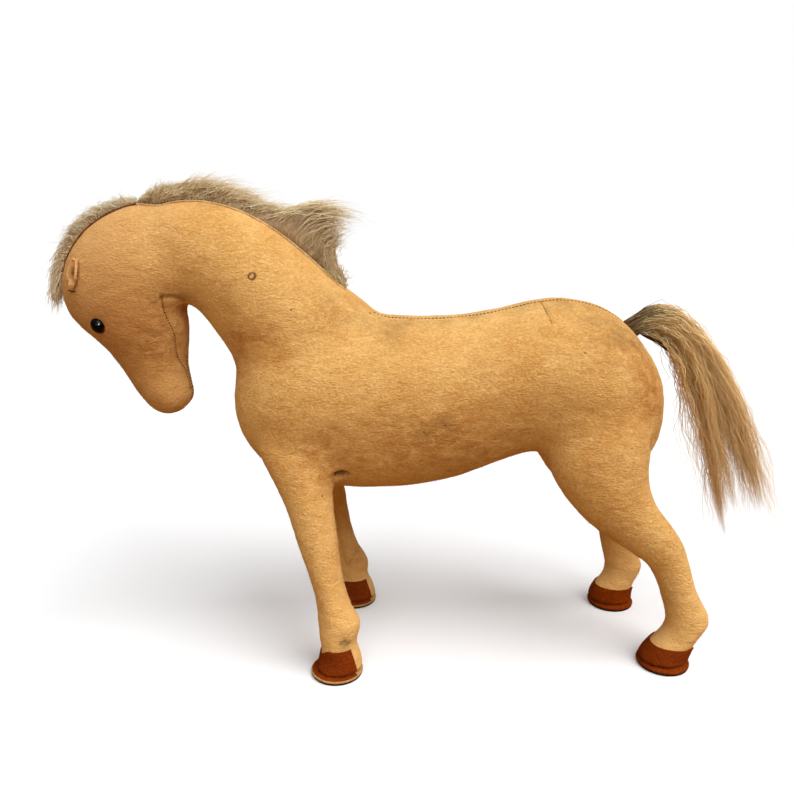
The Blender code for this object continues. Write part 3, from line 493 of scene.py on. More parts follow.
def even_steps(line, pitch):
    """Points at an even pitch along a line of points."""
    lengths = np.concatenate([[0], np.cumsum(np.linalg.norm(np.diff(line, axis=0), axis=1))])
    stops = np.linspace(0, lengths[-1], max(2, round(lengths[-1] / pitch) + 1))
    return np.stack([np.interp(stops, lengths, line[:, axis]) for axis in range(3)], 1)


def sewn(line):
    """A line of points made smooth, laid on the cover and divided into even steps."""
    return on_skin(even_steps(spread(line, SEAM_STOPS), SEAM_STEP))[0]


def mirrored(line):
    return on_skin(line * (1, -1, 1))[0]


def gap_to(points, line):
    """Each point's distance from a line's nearest point, or a large one if far off."""
    gaps = np.full(len(points), 1.0)
    near = np.all((points > line.min(0) - SEAM_NEAR) & (points < line.max(0) + SEAM_NEAR), axis=1)
    rows = points[near]
    best = np.full(len(rows), 1.0)
    for stop in line:
        best = np.minimum(best, np.linalg.norm(rows - stop, axis=1))
    gaps[near] = best
    return gaps


SEAMS = {name: sewn(seen_at(pixels)) for name, pixels in SEEN_SEAMS.items()}
for name, (first, last, count, way) in MET_SEAMS.items():
    SEAMS[name] = sewn(met_from(np.linspace(first, last, count), way))
SEAMS["jaw_right"] = mirrored(SEAMS["jaw_left"])
SEAMS["fore_leg_right"] = mirrored(SEAMS["fore_leg_left"])
left_fold = sewn(seen_at(THROAT_FOLD))

# The valleys, the eye sockets, the hollow behind each elbow and the lumps of the
# filling are pressed into the cover. Depths are in metres.
SEAM_DEPTH, SEAM_HALF_WIDTH = 0.00045, 0.0011
FOLD_DEPTH, FOLD_HALF_WIDTH = 0.0012, 0.0012
SOCKET_DEPTH, SOCKET_REACH = 0.0014, 0.0042
ELBOW_PIXELS = ((338, 475), (342, 474), (346, 475))
ELBOW_DEPTH, ELBOW_REACH = 0.0042, 0.0022
LUMP_HEIGHT = 0.00012
LUMP_WAVES = (310, 420, 380)          # radians per metre along X, Y and Z


def corners_of(node):
    """The low and high corner of a node's box."""
    return [np.array(corner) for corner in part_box(node)]


cover_points = points_of(cover)
cover_normals = normals_of(cover)
seam_gap = np.min([gap_to(cover_points, line) for line in SEAMS.values()], axis=0)
fold_gap = np.min([gap_to(cover_points, line) for line in (left_fold, mirrored(left_fold))], axis=0)
eye_low, eye_high = corners_of("eye_left")
EYE_MIDDLE = np.array(((eye_low[0] + eye_high[0]) / 2, eye_low[1], (eye_low[2] + eye_high[2]) / 2))
eyes = np.stack((EYE_MIDDLE, EYE_MIDDLE * (1, -1, 1)))
sockets = nearness(cover_points, eyes, SOCKET_REACH)
elbow = even_steps(seen_at(ELBOW_PIXELS), SEAM_STEP)
elbows = nearness(cover_points, np.vstack((elbow, mirrored(elbow))), ELBOW_REACH)
wave = cover_points * LUMP_WAVES
lumps = np.sin(wave[:, 0] + 1.7 * np.sin(wave[:, 2])) * np.sin(wave[:, 1] + wave[:, 2] * 0.7)
depth = SEAM_DEPTH * np.exp(-(seam_gap / SEAM_HALF_WIDTH) ** 2)
depth += FOLD_DEPTH * np.exp(-(fold_gap / FOLD_HALF_WIDTH) ** 2)
depth += SOCKET_DEPTH * sockets + ELBOW_DEPTH * elbows ** 2
depth += LUMP_HEIGHT * lumps * (1 - sockets)
move_points(cover, cover_points - cover_normals * depth[:, None])

# Wear, as the photograph shows it. Grey-brown dirt sits in the throat and along the
# back; rusty stains spread over the chest, flank, rump and legs. Some rust spots are
# painted shade instead, on the legs' inner faces, and partly on the rump's rear side. The
# pasterns above the hooves are paler, partly clean felt and partly painted light from
# the floor. Each row is pixel x and y, reach and strength.
DIRT = (
    (405, 320, 0.007, 0.50), (440, 321, 0.007, 0.50), (475, 316, 0.006, 0.45),
    (600, 306, 0.008, 0.50), (622, 320, 0.008, 0.75), (636, 334, 0.005, 0.60),
    (385, 335, 0.009, 0.35), (370, 320, 0.008, 0.30), (160, 296, 0.006, 0.55),
    (182, 298, 0.005, 0.55), (200, 305, 0.005, 0.35), (346, 643, 0.004, 0.80),
    (300, 232, 0.008, 0.30), (210, 206, 0.006, 0.35), (150, 214, 0.007, 0.30),
    (424, 432, 0.006, 0.40), (447, 424, 0.005, 0.35), (520, 436, 0.008, 0.30),
    (400, 328, 0.010, 0.35), (520, 306, 0.008, 0.35), (560, 302, 0.008, 0.40),
    (590, 312, 0.010, 0.40), (626, 336, 0.010, 0.50), (606, 328, 0.010, 0.35),
    (335, 308, 0.012, 0.45), (155, 342, 0.012, 0.45), (642, 345, 0.008, 0.50),
)
RUST_AND_SHADE = (
    (238, 340, 0.009, 0.85), (244, 368, 0.009, 0.60), (262, 330, 0.010, 0.55),
    (280, 350, 0.010, 0.50), (225, 300, 0.008, 0.45),
    (300, 455, 0.014, 0.50), (330, 440, 0.014, 0.55), (318, 470, 0.010, 0.60),
    (400, 440, 0.020, 0.55), (450, 440, 0.020, 0.60), (510, 430, 0.018, 0.45),
    (548, 420, 0.014, 0.25), (600, 350, 0.012, 0.50), (636, 350, 0.010, 0.80),
    (648, 400, 0.012, 0.70), (610, 440, 0.018, 0.30), (580, 480, 0.014, 0.30),
    (640, 480, 0.012, 0.35), (620, 520, 0.012, 0.35), (335, 462, 0.012, 0.50),
    (145, 345, 0.014, 0.85), (170, 350, 0.010, 0.80), (106, 334, 0.006, 0.60),
    (176, 308, 0.006, 0.70), (160, 325, 0.008, 0.50), (160, 402, 0.006, 0.60),
    # The spots at x 644 to 656 are partly stains and partly painted shade on the rump's rear side.
    (490, 350, 0.014, 0.25), (660, 590, 0.008, 0.40), (652, 378, 0.010, 0.80),
    (656, 410, 0.010, 0.80), (652, 440, 0.010, 0.70), (644, 366, 0.008, 0.60),
    (420, 460, 0.018, 0.50), (480, 455, 0.018, 0.50), (150, 300, 0.008, 0.40),
    # The next four spots are painted shade on the inner faces of the legs, under the body.
    (350, 500, 0.008, 0.60), (354, 528, 0.008, 0.75), (358, 556, 0.008, 0.65),
    (614, 540, 0.008, 0.45),
)
SEAM_SHADE, FOLD_SHADE = 0.0007, 0.0008   # metres
FOLD_DARK = 0.35
CLEAN_AND_FLOOR_LIT_HEIGHTS = 0.022, 0.062          # fully pale below the first, not above the second


def worn(places):
    """How strongly each point of the cover is stained, or darkened as painted shade, by the places of a
    list.
    """
    amount = np.zeros(len(cover_points))
    for pixel_x, pixel_y, reach, strength in places:
        spots = seen_at([(pixel_x, pixel_y)])
        if len(spots):
            pair = np.vstack((spots, spots * (1, -1, 1)))
            amount = 1 - (1 - amount) * (1 - strength * nearness(cover_points, pair, reach))
    return amount


give(cover, "dirt", worn(DIRT))
# The rust amount carries painted shade too, on the legs' inner faces and the rump's rear.
give(cover, "rust", worn(RUST_AND_SHADE))
# Paler low on the legs: partly clean felt, partly painted light from the bright floor.
give(cover, "clean_and_floor_lit", np.interp(cover_points[:, 2], CLEAN_AND_FLOOR_LIT_HEIGHTS, (1, 0)))
give(cover, "seam", np.exp(-(seam_gap / SEAM_SHADE) ** 2))
# Painted shade: the throat folds, the hollow behind each elbow and the eye sockets are darkened where shade
# falls in them.
dark = np.maximum(np.exp(-(fold_gap / FOLD_SHADE) ** 2) * FOLD_DARK, elbows ** 2)
give(cover, "dark", np.maximum(dark, sockets ** 3))


def linear(hex_colour):
    """A colour of the screen such as "C68642" as linear red, green, blue and alpha."""
    parts = np.array([int(hex_colour[n:n + 2], 16) for n in (0, 2, 4)]) / 255
    parts = np.where(parts <= 0.04045, parts / 12.92, ((parts + 0.055) / 1.055) ** 2.4)
    return (*parts, 1.0)


def add_node(tree, kind, inputs=None, output=0, **settings):
    """Adds a shader node with its settings; each input is a value or another node's
    output. Returns one of its own outputs."""
    node = tree.nodes.new("ShaderNode" + kind)
    for name, value in settings.items():
        setattr(node, name, value)
    for socket, value in (inputs or {}).items():
        if isinstance(value, bpy.types.NodeSocket):
            tree.links.new(value, node.inputs[socket])
        else:
            node.inputs[socket].default_value = value
    return node.outputs[output]


def shader_of(tree):
    return tree.nodes["Principled BSDF"]


def blank_material(name, **values):
    """A material with only its shader, and the shader's values that are the same all
    over. Returns it with its tree."""
    material = bpy.data.materials.new(name)
    material.use_nodes = True
    for socket, value in values.items():
        shader_of(material.node_tree).inputs[socket.replace("_", " ")].default_value = value
    return material, material.node_tree


def wire(tree, **outputs):
    """Links outputs to the sockets of the tree's shader."""
    for socket, output in outputs.items():
        tree.links.new(output, shader_of(tree).inputs[socket.replace("_", " ")])


def layered(tree, base, *layers):
    """A colour with others laid over it. Each layer is a colour and the output that says
    where it lies. A ramp may follow: the output's values at no cover and at the most
    cover, and how much that is."""
    colour = linear(base) if isinstance(base, str) else base
    for top, cover_share, *ramp in layers:
        if ramp:
            bare, full, most = ramp
            ends = {"Value": cover_share, 1: bare, 2: full, 3: 0.0, 4: most}
            cover_share = add_node(tree, "MapRange", ends)
        colour = add_node(tree, "Mix", {0: cover_share, 6: colour, 7: linear(top)}, 2, data_type="RGBA")
    return colour


# Woollen felt, golden tan: pressed fibres with no weave. It is matted into a soft
# mottle, with single darker and paler fibres lying over it mostly along the body.
FELT_LIGHT, FELT_DEEP = "ECBC74", "CA8B3C"
FELT_PALE = "FFE3AE"
FELT_CLEAN_AND_FLOOR_LIT = "FFCE84"                 # as dyed, where little has rubbed it, and lightened as painted light from the floor
FELT_FIBRE = "A86A22"
FELT_HEAD = "DAA66E"
FELT_FACE_SHADE = "A86C34"                  # painted shade on the cheek and muzzle below the eyes
FELT_RUST_AND_SHADE = "A8601C"
FELT_DIRT = "6E5230"
FELT_HOLE_AND_SHADE = "26140A"
MOTH_HOLE_EDGE = "4A2C12"
MARKS = (                             # pixel x and y, radius in metres, strength
    (291, 310, 0.00045, 0.85), (370, 313, 0.00050, 0.85), (445, 426, 0.00040, 0.85),
    (424, 432, 0.00045, 0.85), (585, 353, 0.00045, 0.85), (322, 496, 0.00045, 0.85),
    (452, 372, 0.00030, 0.85), (341, 643, 0.00100, 0.40), (345, 641, 0.00120, 0.55),
    (349, 642, 0.00110, 0.40),
)
MOTH_HOLE = (252, 276)
MOTH_HOLE_RADIUS = 0.0014
MOTH_HOLE_RAGGED = 0.0040             # over which noise frays its edge


def felt_material(name, light, deep, fibre, pale):
    """Felt with fading 25 mm wide, a mottle of matted wool 4 mm wide, a grain of dark
    and pale fibres, and thin wavy ones where a stretched noise is near its middle value.
    Returns the material with its tree, its colour so far and the place in metres."""
    material, tree = blank_material(
        name, Roughness=0.97, Sheen_Weight=0.10, Sheen_Roughness=0.5, Sheen_Tint=linear("FFE2B4"),
        Specular_IOR_Level=0.04,
    )
    place = add_node(tree, "TexCoord", output="Object")
    along = add_node(tree, "Mapping", {"Vector": place, "Scale": (0.55, 1.0, 1.0)})
    fading = add_node(tree, "TexNoise", {"Vector": place, "Scale": 40.0, "Detail": 3.0})
    mottle, grain, waves = (
        add_node(tree, "TexNoise", {"Vector": along, "Scale": scale, "Detail": detail, "Distortion": bent})
        for scale, detail, bent in ((260.0, 5.0, 0.8), (1250.0, 4.0, 0.6), (520.0, 3.0, 2.2))
    )
    off_middle = add_node(tree, "Math", {0: waves, 1: 0.5}, operation="SUBTRACT")
    ridge = add_node(tree, "Math", {0: off_middle}, operation="ABSOLUTE")
    colour = layered(
        tree, light,
        (deep, fading, 0.40, 0.62, 0.35),
        (deep, mottle, 0.42, 0.68, 0.30),
        (fibre, grain, 0.46, 0.70, 0.34),
        (pale, grain, 0.46, 0.26, 0.40),
        (fibre, ridge, 0.030, 0.0, 0.16),
    )
    lift = add_node(tree, "Math", {0: waves, 1: 0.25, 2: mottle}, operation="MULTIPLY_ADD")
    lift = add_node(tree, "Math", {0: lift, 1: grain}, operation="ADD")
    bump = add_node(tree, "Bump", {"Height": lift, "Strength": 0.75, "Distance": 0.0009})
    wire(tree, Base_Color=colour, Normal=bump)
    return material, tree, colour, place


felt, felt_tree, felt_colour, felt_place = felt_material(
    "golden_wool_felt_pressed", FELT_LIGHT, FELT_DEEP, FELT_FIBRE, FELT_PALE
)
felt_x, felt_z = (add_node(felt_tree, "SeparateXYZ", {0: felt_place}, axis) for axis in "XZ")
on_head = add_node(felt_tree, "MapRange", {"Value": felt_x, 1: -0.100, 2: -0.145, 3: 0.0, 4: 0.50})
# Painted shade: the head's felt darkens below the eyes, over the cheek and muzzle.
below_eyes = add_node(felt_tree, "MapRange", {"Value": felt_z, 1: 0.206, 2: 0.180, 3: 0.0, 4: 1.15})
face_shade = add_node(felt_tree, "Math", {0: on_head, 1: below_eyes}, operation="MULTIPLY")
stain_place = add_node(felt_tree, "Mapping", {"Vector": felt_place, "Scale": (0.6, 1, 1)})
stain_values = {"Vector": stain_place, "Scale": 190.0, "Detail": 8.0, "Roughness": 0.74, "Distortion": 0.5}
stains = add_node(felt_tree, "TexNoise", stain_values)
felt_layers = [(FELT_HEAD, on_head), (FELT_FACE_SHADE, face_shade)]
# The clean amount is partly painted floor light, and the rust amount partly painted shade.
for number_name, colour, low, high, most in (
    ("clean_and_floor_lit", FELT_CLEAN_AND_FLOOR_LIT, 0.0, 1.0, 1.1), ("rust", FELT_RUST_AND_SHADE, 0.36, 0.66, 1.0),
    ("dirt", FELT_DIRT, 0.34, 0.66, 1.0),
):
    amount = add_node(felt_tree, "Attribute", output="Fac", attribute_name=number_name)
    patchy = add_node(felt_tree, "MapRange", {"Value": stains, 1: low, 2: high, 3: 0.0, 4: most})
    felt_layers.append((colour, add_node(felt_tree, "Math", {0: amount, 1: patchy}, operation="MULTIPLY")))
# The dark amount is painted shade in folds, elbow hollows and eye sockets; the marks after it are real
# specks.
for number_name, colour, most in (("seam", FELT_FIBRE, 0.30), ("dark", FELT_HOLE_AND_SHADE, 1.0)):
    amount = add_node(felt_tree, "Attribute", output="Fac", attribute_name=number_name)
    felt_layers.append((colour, amount, 0.0, 1.0, most))
for pixel_x, pixel_y, radius, strength in MARKS:
    mark = tuple(seen_at([(pixel_x, pixel_y)])[0])
    gap = add_node(felt_tree, "VectorMath", {0: felt_place, 1: mark}, "Value", operation="DISTANCE")
    felt_layers.append((FELT_HOLE_AND_SHADE, gap, radius * 1.5, radius * 0.4, strength))
frayed = {0: stains, 1: (MOTH_HOLE_RAGGED,) * 3, 2: felt_place}
frayed = add_node(felt_tree, "VectorMath", frayed, operation="MULTIPLY_ADD")
moth_hole = tuple(seen_at([MOTH_HOLE])[0] + MOTH_HOLE_RAGGED / 2)
moth_gap = add_node(felt_tree, "VectorMath", {0: frayed, 1: moth_hole}, "Value", operation="DISTANCE")
moth_ring = add_node(felt_tree, "Math", {0: moth_gap, 1: MOTH_HOLE_RADIUS}, operation="SUBTRACT")
moth_ring = add_node(felt_tree, "Math", {0: moth_ring}, operation="ABSOLUTE")
felt_layers.append((MOTH_HOLE_EDGE, moth_ring, 0.0008, 0.0002, 0.85))
wire(felt_tree, Base_Color=layered(felt_tree, felt_colour, *felt_layers))
cover.data.materials.append(felt)

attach(cover, "horse")
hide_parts("trunk", "neck", "head", *[f"leg_{name}" for name in LEGS])

# Stitches. Dark waxed thread, one short arc between two needle holes, lying in the
# valley of its seam. A machine sewed the jaws, a hand the back.
STITCHED = {                          # pitch and length of a stitch, thread thickness
    "jaw_left": (0.0014, 0.0009, 0.00046),
    "jaw_right": (0.0014, 0.0009, 0.00046),
    "back": (0.0018, 0.0012, 0.00050),
    "cross": (0.0013, 0.0010, 0.00036),
    "belly": (0.0017, 0.0012, 0.00036),
    "chest": (0.0017, 0.0012, 0.00034),
    "rump": (0.0017, 0.0012, 0.00034),
}
STITCH_SHARES = np.array((-1, -0.85, -0.4, 0.4, 0.85, 1))   # u of the rings along a stitch
STITCH_AROUND = 6
thread, thread_tree = blank_material("waxed_linen_thread", Roughness=0.75, Specular_IOR_Level=0.1)
thread_place = add_node(thread_tree, "TexCoord", output="Object")
thread_noise = add_node(thread_tree, "TexNoise", {"Vector": thread_place, "Scale": 1500.0})
wire(thread_tree, Base_Color=layered(thread_tree, "2E1A0A", ("4E3218", thread_noise)))


def stitch_points(line, pitch, length, thickness, lift=-SEAM_DEPTH):
    """Points of a row of stitches. Along one, u runs from -1 to 1, its radius is
    r·sqrt(1 - u^4) and it rises by r·(1.2 - 2u²), so that both ends dip into the felt.
    The lift is from the cover to what the thread lies on."""
    stops = even_steps(line, pitch)
    along = np.diff(stops, axis=0)
    along /= np.linalg.norm(along, axis=1)[:, None]
    places, up = on_skin((stops[1:] + stops[:-1]) / 2)
    places = places + up * lift
    across = np.cross(up, along)
    u, turn = STITCH_SHARES, full_turn(STITCH_AROUND)
    radius = thickness / 2 * np.sqrt(np.maximum(1 - u ** 4, 0))
    rise = thickness / 2 * (1.2 - 2 * u ** 2)
    upwards = rise[:, None] + radius[:, None] * np.cos(turn)
    sideways = radius[:, None] * np.sin(turn)
    return (
        places[:, None, None]
        + (u * length / 2)[None, :, None, None] * along[:, None, None]
        + upwards[None, :, :, None] * up[:, None, None]
        + sideways[None, :, :, None] * across[:, None, None]
    )


def stitch_piece(name, rows):
    """Rows of stitches as one piece of thread."""
    points = np.concatenate(rows)
    one = grid_faces(len(STITCH_SHARES), STITCH_AROUND)
    return new_piece(name, points, repeated(one, len(points), len(STITCH_SHARES) * STITCH_AROUND), thread)


stitches = stitch_piece(
    "seam_stitches", [stitch_points(SEAMS[name], *sizes) for name, sizes in STITCHED.items()]
)
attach(stitches, "horse")

# Nap of the felt. Loose wool fibres stand off the cover and lie back along the body;
# they blur its outline. Each is a closed spike of three sides.
NAP_COUNT = 24000
NAP_LENGTH = (0.0007, 0.0018)
NAP_WIDTH = 0.00011
NAP_RISE = 0.8                        # share of a fibre's way that stands off the cover
NAP_LEAN, NAP_MESS = (1.1, 0, -0.3), 0.9   # shares that lie along it, backwards and at random
NAP_SUNK = 0.0002                     # of the root in the cover
random = np.random.default_rng(7)


def scattered(piece, count):
    """Random points spread evenly over the piece's area, and its directions there."""
    piece.data.calc_loop_triangles()
    corners = numbers_of(piece.data.loop_triangles, "vertices", 3, int)
    triangles = points_of(piece)[corners]
    normals = np.cross(triangles[:, 1] - triangles[:, 0], triangles[:, 2] - triangles[:, 0])
    areas = np.linalg.norm(normals, axis=1)
    picks = random.choice(len(areas), count, p=areas / areas.sum())
    a, b = random.random((2, count, 1))
    a, b = np.where(a + b > 1, 1 - a, a), np.where(a + b > 1, 1 - b, b)
    first, second, third = triangles[picks].transpose(1, 0, 2)
    return first + a * (second - first) + b * (third - first), normals[picks] / areas[picks, None]


nap_roots, nap_up = scattered(cover, NAP_COUNT)
kept = nap_roots[:, 2] > SOLE_TOP_Z + 0.001
nap_roots, nap_up = nap_roots[kept], nap_up[kept]
lean = random.normal(0, NAP_MESS, nap_roots.shape) + NAP_LEAN
nap_way = nap_up * NAP_RISE + lean - nap_up * (lean * nap_up).sum(1)[:, None]
nap_way /= np.linalg.norm(nap_way, axis=1)[:, None]
nap_side = np.cross(nap_way, nap_up)
nap_side /= np.linalg.norm(nap_side, axis=1)[:, None]
nap_back = np.cross(nap_side, nap_way)
nap_reach = random.uniform(*NAP_LENGTH, (len(nap_roots), 1))
sunk = nap_roots - nap_up * NAP_SUNK
feet = [
    sunk + NAP_WIDTH / 2 * (math.cos(turn) * nap_side + math.sin(turn) * nap_back) for turn in full_turn(3)
]
nap_points = np.stack((*feet, nap_roots + nap_way * nap_reach), 1)
spike = np.array(((0, 1, 3), (1, 2, 3), (2, 0, 3), (2, 1, 0)))
fibre = felt_material("loose_wool_fibre", "EBBE7C", FELT_LIGHT, "C08A48", FELT_PALE)[0]
nap = new_piece("felt_nap", nap_points, repeated(spike, len(nap_points), 4), fibre, smooth=False)
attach(nap, "horse")

# Insole cards, leg wires, spine wire and eye twine. They are hidden inside the filling
# and keep their CAD shapes. Grey strawboard, annealed steel wire and jute.


def streaked_material(name, first, second, scale, stretch, **values):
    """A material with two colours in streaks: noise at the scale (per metre), its
    coordinates stretched along X, Y and Z."""
    material, tree = blank_material(name, **values)
    place = add_node(tree, "TexCoord", output="Object")
    along = add_node(tree, "Mapping", {"Vector": place, "Scale": stretch})
    noise = add_node(tree, "TexNoise", {"Vector": along, "Scale": scale, "Detail": 4.0})
    bump = add_node(tree, "Bump", {"Height": noise, "Strength": 0.3, "Distance": 0.0004})
    wire(tree, Base_Color=layered(tree, first, (second, noise, 0.34, 0.66, 1.0)), Normal=bump)
    return material


board = streaked_material("grey_strawboard_die_cut", "9C8F78", "7D725E", 900.0, (1, 1, 3), Roughness=0.9)
steel = streaked_material(
    "annealed_steel_wire_drawn", "8A8C8E", "5F6163", 1200.0, (1, 1, 0.1), Metallic=1.0, Roughness=0.38
)
jute = streaked_material("jute_twine_twisted", "A98A58", "7A5F38", 1800.0, (0.4, 1, 1), Roughness=0.95)
INSIDES = {"insole_card": board, "leg_wire": steel, "spine_wire": steel, "eye_twine": jute}
for node_name, node_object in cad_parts.items():
    for beginning, finish in INSIDES.items():
        if node_name.startswith(beginning):
            for material_slot in node_object.material_slots:
                material_slot.link = "OBJECT"
                material_slot.material = finish

# Hooves. Each is a band of rust-brown felt glued and sewn round the front of the foot
# and left open at the heel, with a raw cut edge. It flares out over the sole's rim.
HOOF_BOTTOM = 0.0022
HOOF_TOPS = {"fore": (0.0112, 0.0160, 0.0164), "hind": (0.0126, 0.0126, 0.0120)}   # toe, side, heel
HOOF_SWEEP = {"fore": math.radians(140), "hind": math.radians(158)}   # either way from the toe
HOOF_STAND_OFF = 0.0009               # outer face above the cover
HOOF_THICKNESS = 0.0008
HOOF_EDGE = 0.0003                    # rounding of its cut edges
HOOF_SLANT = math.radians(9)          # the band reaches farther round at its bottom
HOOF_FLARE_INSET = -0.0002            # just outside the sole's rim
HOOF_STEPS = (72, 22)
HOOF_SIDE = math.radians(75)          # from the toe to where the top edge is level


def hoof_top(kind, angles):
    """Height of a hoof's top edge at angles from the toe: it rises from the toe to the
    side by a smooth step, and on to the heel in proportion."""
    toe, side, heel = HOOF_TOPS[kind]
    turned = np.abs(angles) / HOOF_SIDE
    share = np.clip(turned, 0, 1)
    rest = np.clip(turned - 1, 0, 1)
    return toe + (side - toe) * share ** 2 * (3 - 2 * share) + (heel - side) * rest


def hoof_points(middle, half, kind):
    """Outer face of a hoof band. A point stands off the cover, which is met from the
    foot's middle line, and moves out to the sole's oval by (1 - h)⁷ at a height
    share h. Its rows lie closer together towards the bottom."""
    sweep = HOOF_SWEEP[kind]
    angles = np.linspace(-sweep, sweep, HOOF_STEPS[0])
    tops = hoof_top(kind, angles)
    rows = []
    for share in np.linspace(0, 1, HOOF_STEPS[1]) ** 1.6:
        row = []
        slanted = angles * (1 + HOOF_SLANT / sweep * (1 - share))
        rims = 1 / np.hypot(np.cos(slanted) / half[0], np.sin(slanted) / half[1]) - HOOF_FLARE_INSET
        for angle, top, rim in zip(slanted, tops, rims):
            way = Vector((-math.cos(angle), math.sin(angle), 0))
            start = Vector((middle[0], middle[1], HOOF_BOTTOM + (top - HOOF_BOTTOM) * share))
            above = Vector((start.x, start.y, max(start.z, SOLE_TOP_Z + 0.0003)))
            reach = skin.ray_cast(above, way)[3] + HOOF_STAND_OFF
            reach += max(rim - reach, 0) * (1 - share) ** 7
            row.append(start + way * reach)
        rows.append(row)
    return np.array(rows)


def grid_piece(name, grid, material, joined=True, **numbers):
    """A piece from a grid of points, whose last column may join its first."""
    return new_piece(name, grid, grid_faces(*grid.shape[:2], joined), material, **numbers)


hoof_felt, hoof_tree, *_ = felt_material("rust_brown_wool_felt_cut", "8C3A06", "6C2802", "4A1A00", "9C4A10")
shader_of(hoof_tree).inputs["Sheen Weight"].default_value = 0
FEET = {}
for leg_name in LEGS:
    low, high = corners_of(f"sole_{leg_name}")
    FEET[leg_name] = (low + high) / 2
    band = hoof_points(FEET[leg_name], (high - low) / 2, leg_name.split("_")[0])
    hoof = grid_piece(f"hoof_felt_{leg_name}", band, hoof_felt, joined=False)
    shape_by(hoof, "SOLIDIFY", thickness=HOOF_THICKNESS, offset=-1)
    shape_by(hoof, "BEVEL", width=HOOF_EDGE, segments=2, limit_method="ANGLE")
    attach(hoof, "horse")
    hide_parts(f"hoof_{leg_name}")

# Soles. Each is a disc of thick dark leather with a rubbed, rounded rim. A welt of felt
# is caught round it and shows as a thin ledge under the hoof band.
SOLE_RIM = 0.0011
SOLE_INSET = -0.0003                  # of the rim, which shows under the hoof band
SOLE_STEP_HEIGHT, SOLE_STEP = 0.0013, 0.0024   # above this height it is narrower by this
LEDGE_BOTTOM = 0.0012
LEDGE_HEIGHT = 0.0011
LEDGE_OUT = 0.0004                    # past the sole's node


def disc_points(low, high, rim, around=96):
    """A disc between two corners: an oval whose edge is rounded by a superellipse,
    radius (1 - |h|^4)^(1/4) at a height share h, with level faces above and below."""
    low, high = np.array(low, float), np.array(high, float)
    middle, half = (low + high) / 2, (high - low) / 2
    tilt = np.linspace(-math.pi / 2, math.pi / 2, 15)
    inset = 1 - rim / half[0] * (1 - np.cos(tilt) ** 0.5)
    share = np.concatenate(([0, 0.5], inset, [0.5, 0]))
    height = np.concatenate(([-1, -1], np.sin(tilt), [1, 1]))
    turn = full_turn(around)
    x = middle[0] + half[0] * share[:, None] * np.cos(turn)
    y = middle[1] + half[1] * share[:, None] * np.sin(turn)
    z = np.broadcast_to(middle[2] + half[2] * height[:, None], x.shape)
    return np.stack((x, y, z), -1)


sole_leather = streaked_material(
    "sole_leather_rubbed", "6A3410", "4A220C", 420.0, (1, 1, 4), Roughness=0.7, Specular_IOR_Level=0.05
)
sole_tree = sole_leather.node_tree
sole_colour = shader_of(sole_tree).inputs["Base Color"].links[0].from_socket
sole_place = add_node(sole_tree, "TexCoord", output="Object")
sole_height = add_node(sole_tree, "SeparateXYZ", {0: sole_place}, "Z")
wire(sole_tree, Base_Color=layered(sole_tree, sole_colour, ("1C0D06", sole_height, 0.0020, 0.0008, 0.9)))
felt_welt = felt_material("welt_wool_felt_soiled", "D2A268", "A8763C", "6E4820", "E2B67C")[0]
for leg_name in LEGS:
    low, high = corners_of(f"sole_{leg_name}")
    inset = np.array((SOLE_INSET, SOLE_INSET, 0))
    disc = disc_points(low + inset, high - inset, SOLE_RIM)
    stepped = np.where(disc[..., 2:] > SOLE_STEP_HEIGHT, 1 - SOLE_STEP / (high[0] - low[0]) * 2, 1)
    disc[..., :2] = FEET[leg_name][:2] + (disc[..., :2] - FEET[leg_name][:2]) * stepped
    sole = grid_piece(f"sole_disc_{leg_name}", disc, sole_leather)
    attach(sole, "horse")
    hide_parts(f"sole_{leg_name}")
    ledge_low, ledge_high = low - LEDGE_OUT, high + LEDGE_OUT
    ledge_low[2], ledge_high[2] = LEDGE_BOTTOM, LEDGE_BOTTOM + LEDGE_HEIGHT
    disc = disc_points(ledge_low, ledge_high, SOLE_RIM / 2)
    ledge_felt = felt_welt if leg_name.startswith("fore") else hoof_felt
    ledge = grid_piece(f"foot_ledge_{leg_name}", disc, ledge_felt)
    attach(ledge, "horse")

# Eyes. Glass beads on wire shanks, drawn into the head with twine. They are black but
# for a thin amber rim below and behind, and polished.
EYE_RADIUS = 0.0037
EYE_OVAL = 1.10, 0.94                 # along the slanting lid line and across it
EYE_SLANT = np.array((0.60, 0, -0.80))
EYE_STEPS = (33, 64)
PUPIL_RADIUS = 0.0032
glass, glass_tree = blank_material("eye_glass_lampworked", Roughness=0.04, IOR=1.5, Specular_IOR_Level=0.11)
glass_place = add_node(glass_tree, "TexCoord", output="Object")
glass_x, glass_z = (add_node(glass_tree, "SeparateXYZ", {0: glass_place}, axis) for axis in "XZ")
glass_flat = add_node(glass_tree, "CombineXYZ", {"X": glass_x, "Z": glass_z})
from_pupil = {0: glass_flat, 1: tuple(EYE_MIDDLE * (1, 0, 1))}
glass_gap = add_node(glass_tree, "VectorMath", from_pupil, "Value", operation="DISTANCE")
rim_ends = {"Value": glass_gap, 1: PUPIL_RADIUS * 0.94, 2: PUPIL_RADIUS * 1.08}
amber_rim = add_node(glass_tree, "MapRange", rim_ends)
slope = add_node(glass_tree, "Math", {0: glass_x, 1: glass_z}, operation="SUBTRACT")
slope_middle = EYE_MIDDLE[0] - EYE_MIDDLE[2]
side_ends = {"Value": slope, 1: slope_middle, 2: slope_middle + EYE_RADIUS}
amber_side = add_node(glass_tree, "MapRange", side_ends)
amber_here = add_node(glass_tree, "Math", {0: amber_rim, 1: amber_side}, operation="MULTIPLY")
wire(glass_tree, Base_Color=layered(glass_tree, "020101", ("521C08", amber_here)))
tilt, turn = np.linspace(0, math.pi, EYE_STEPS[0])[:, None], full_turn(EYE_STEPS[1])
bead = np.stack((np.sin(tilt) * np.cos(turn), np.cos(tilt) + 0 * turn, np.sin(tilt) * np.sin(turn)), -1)
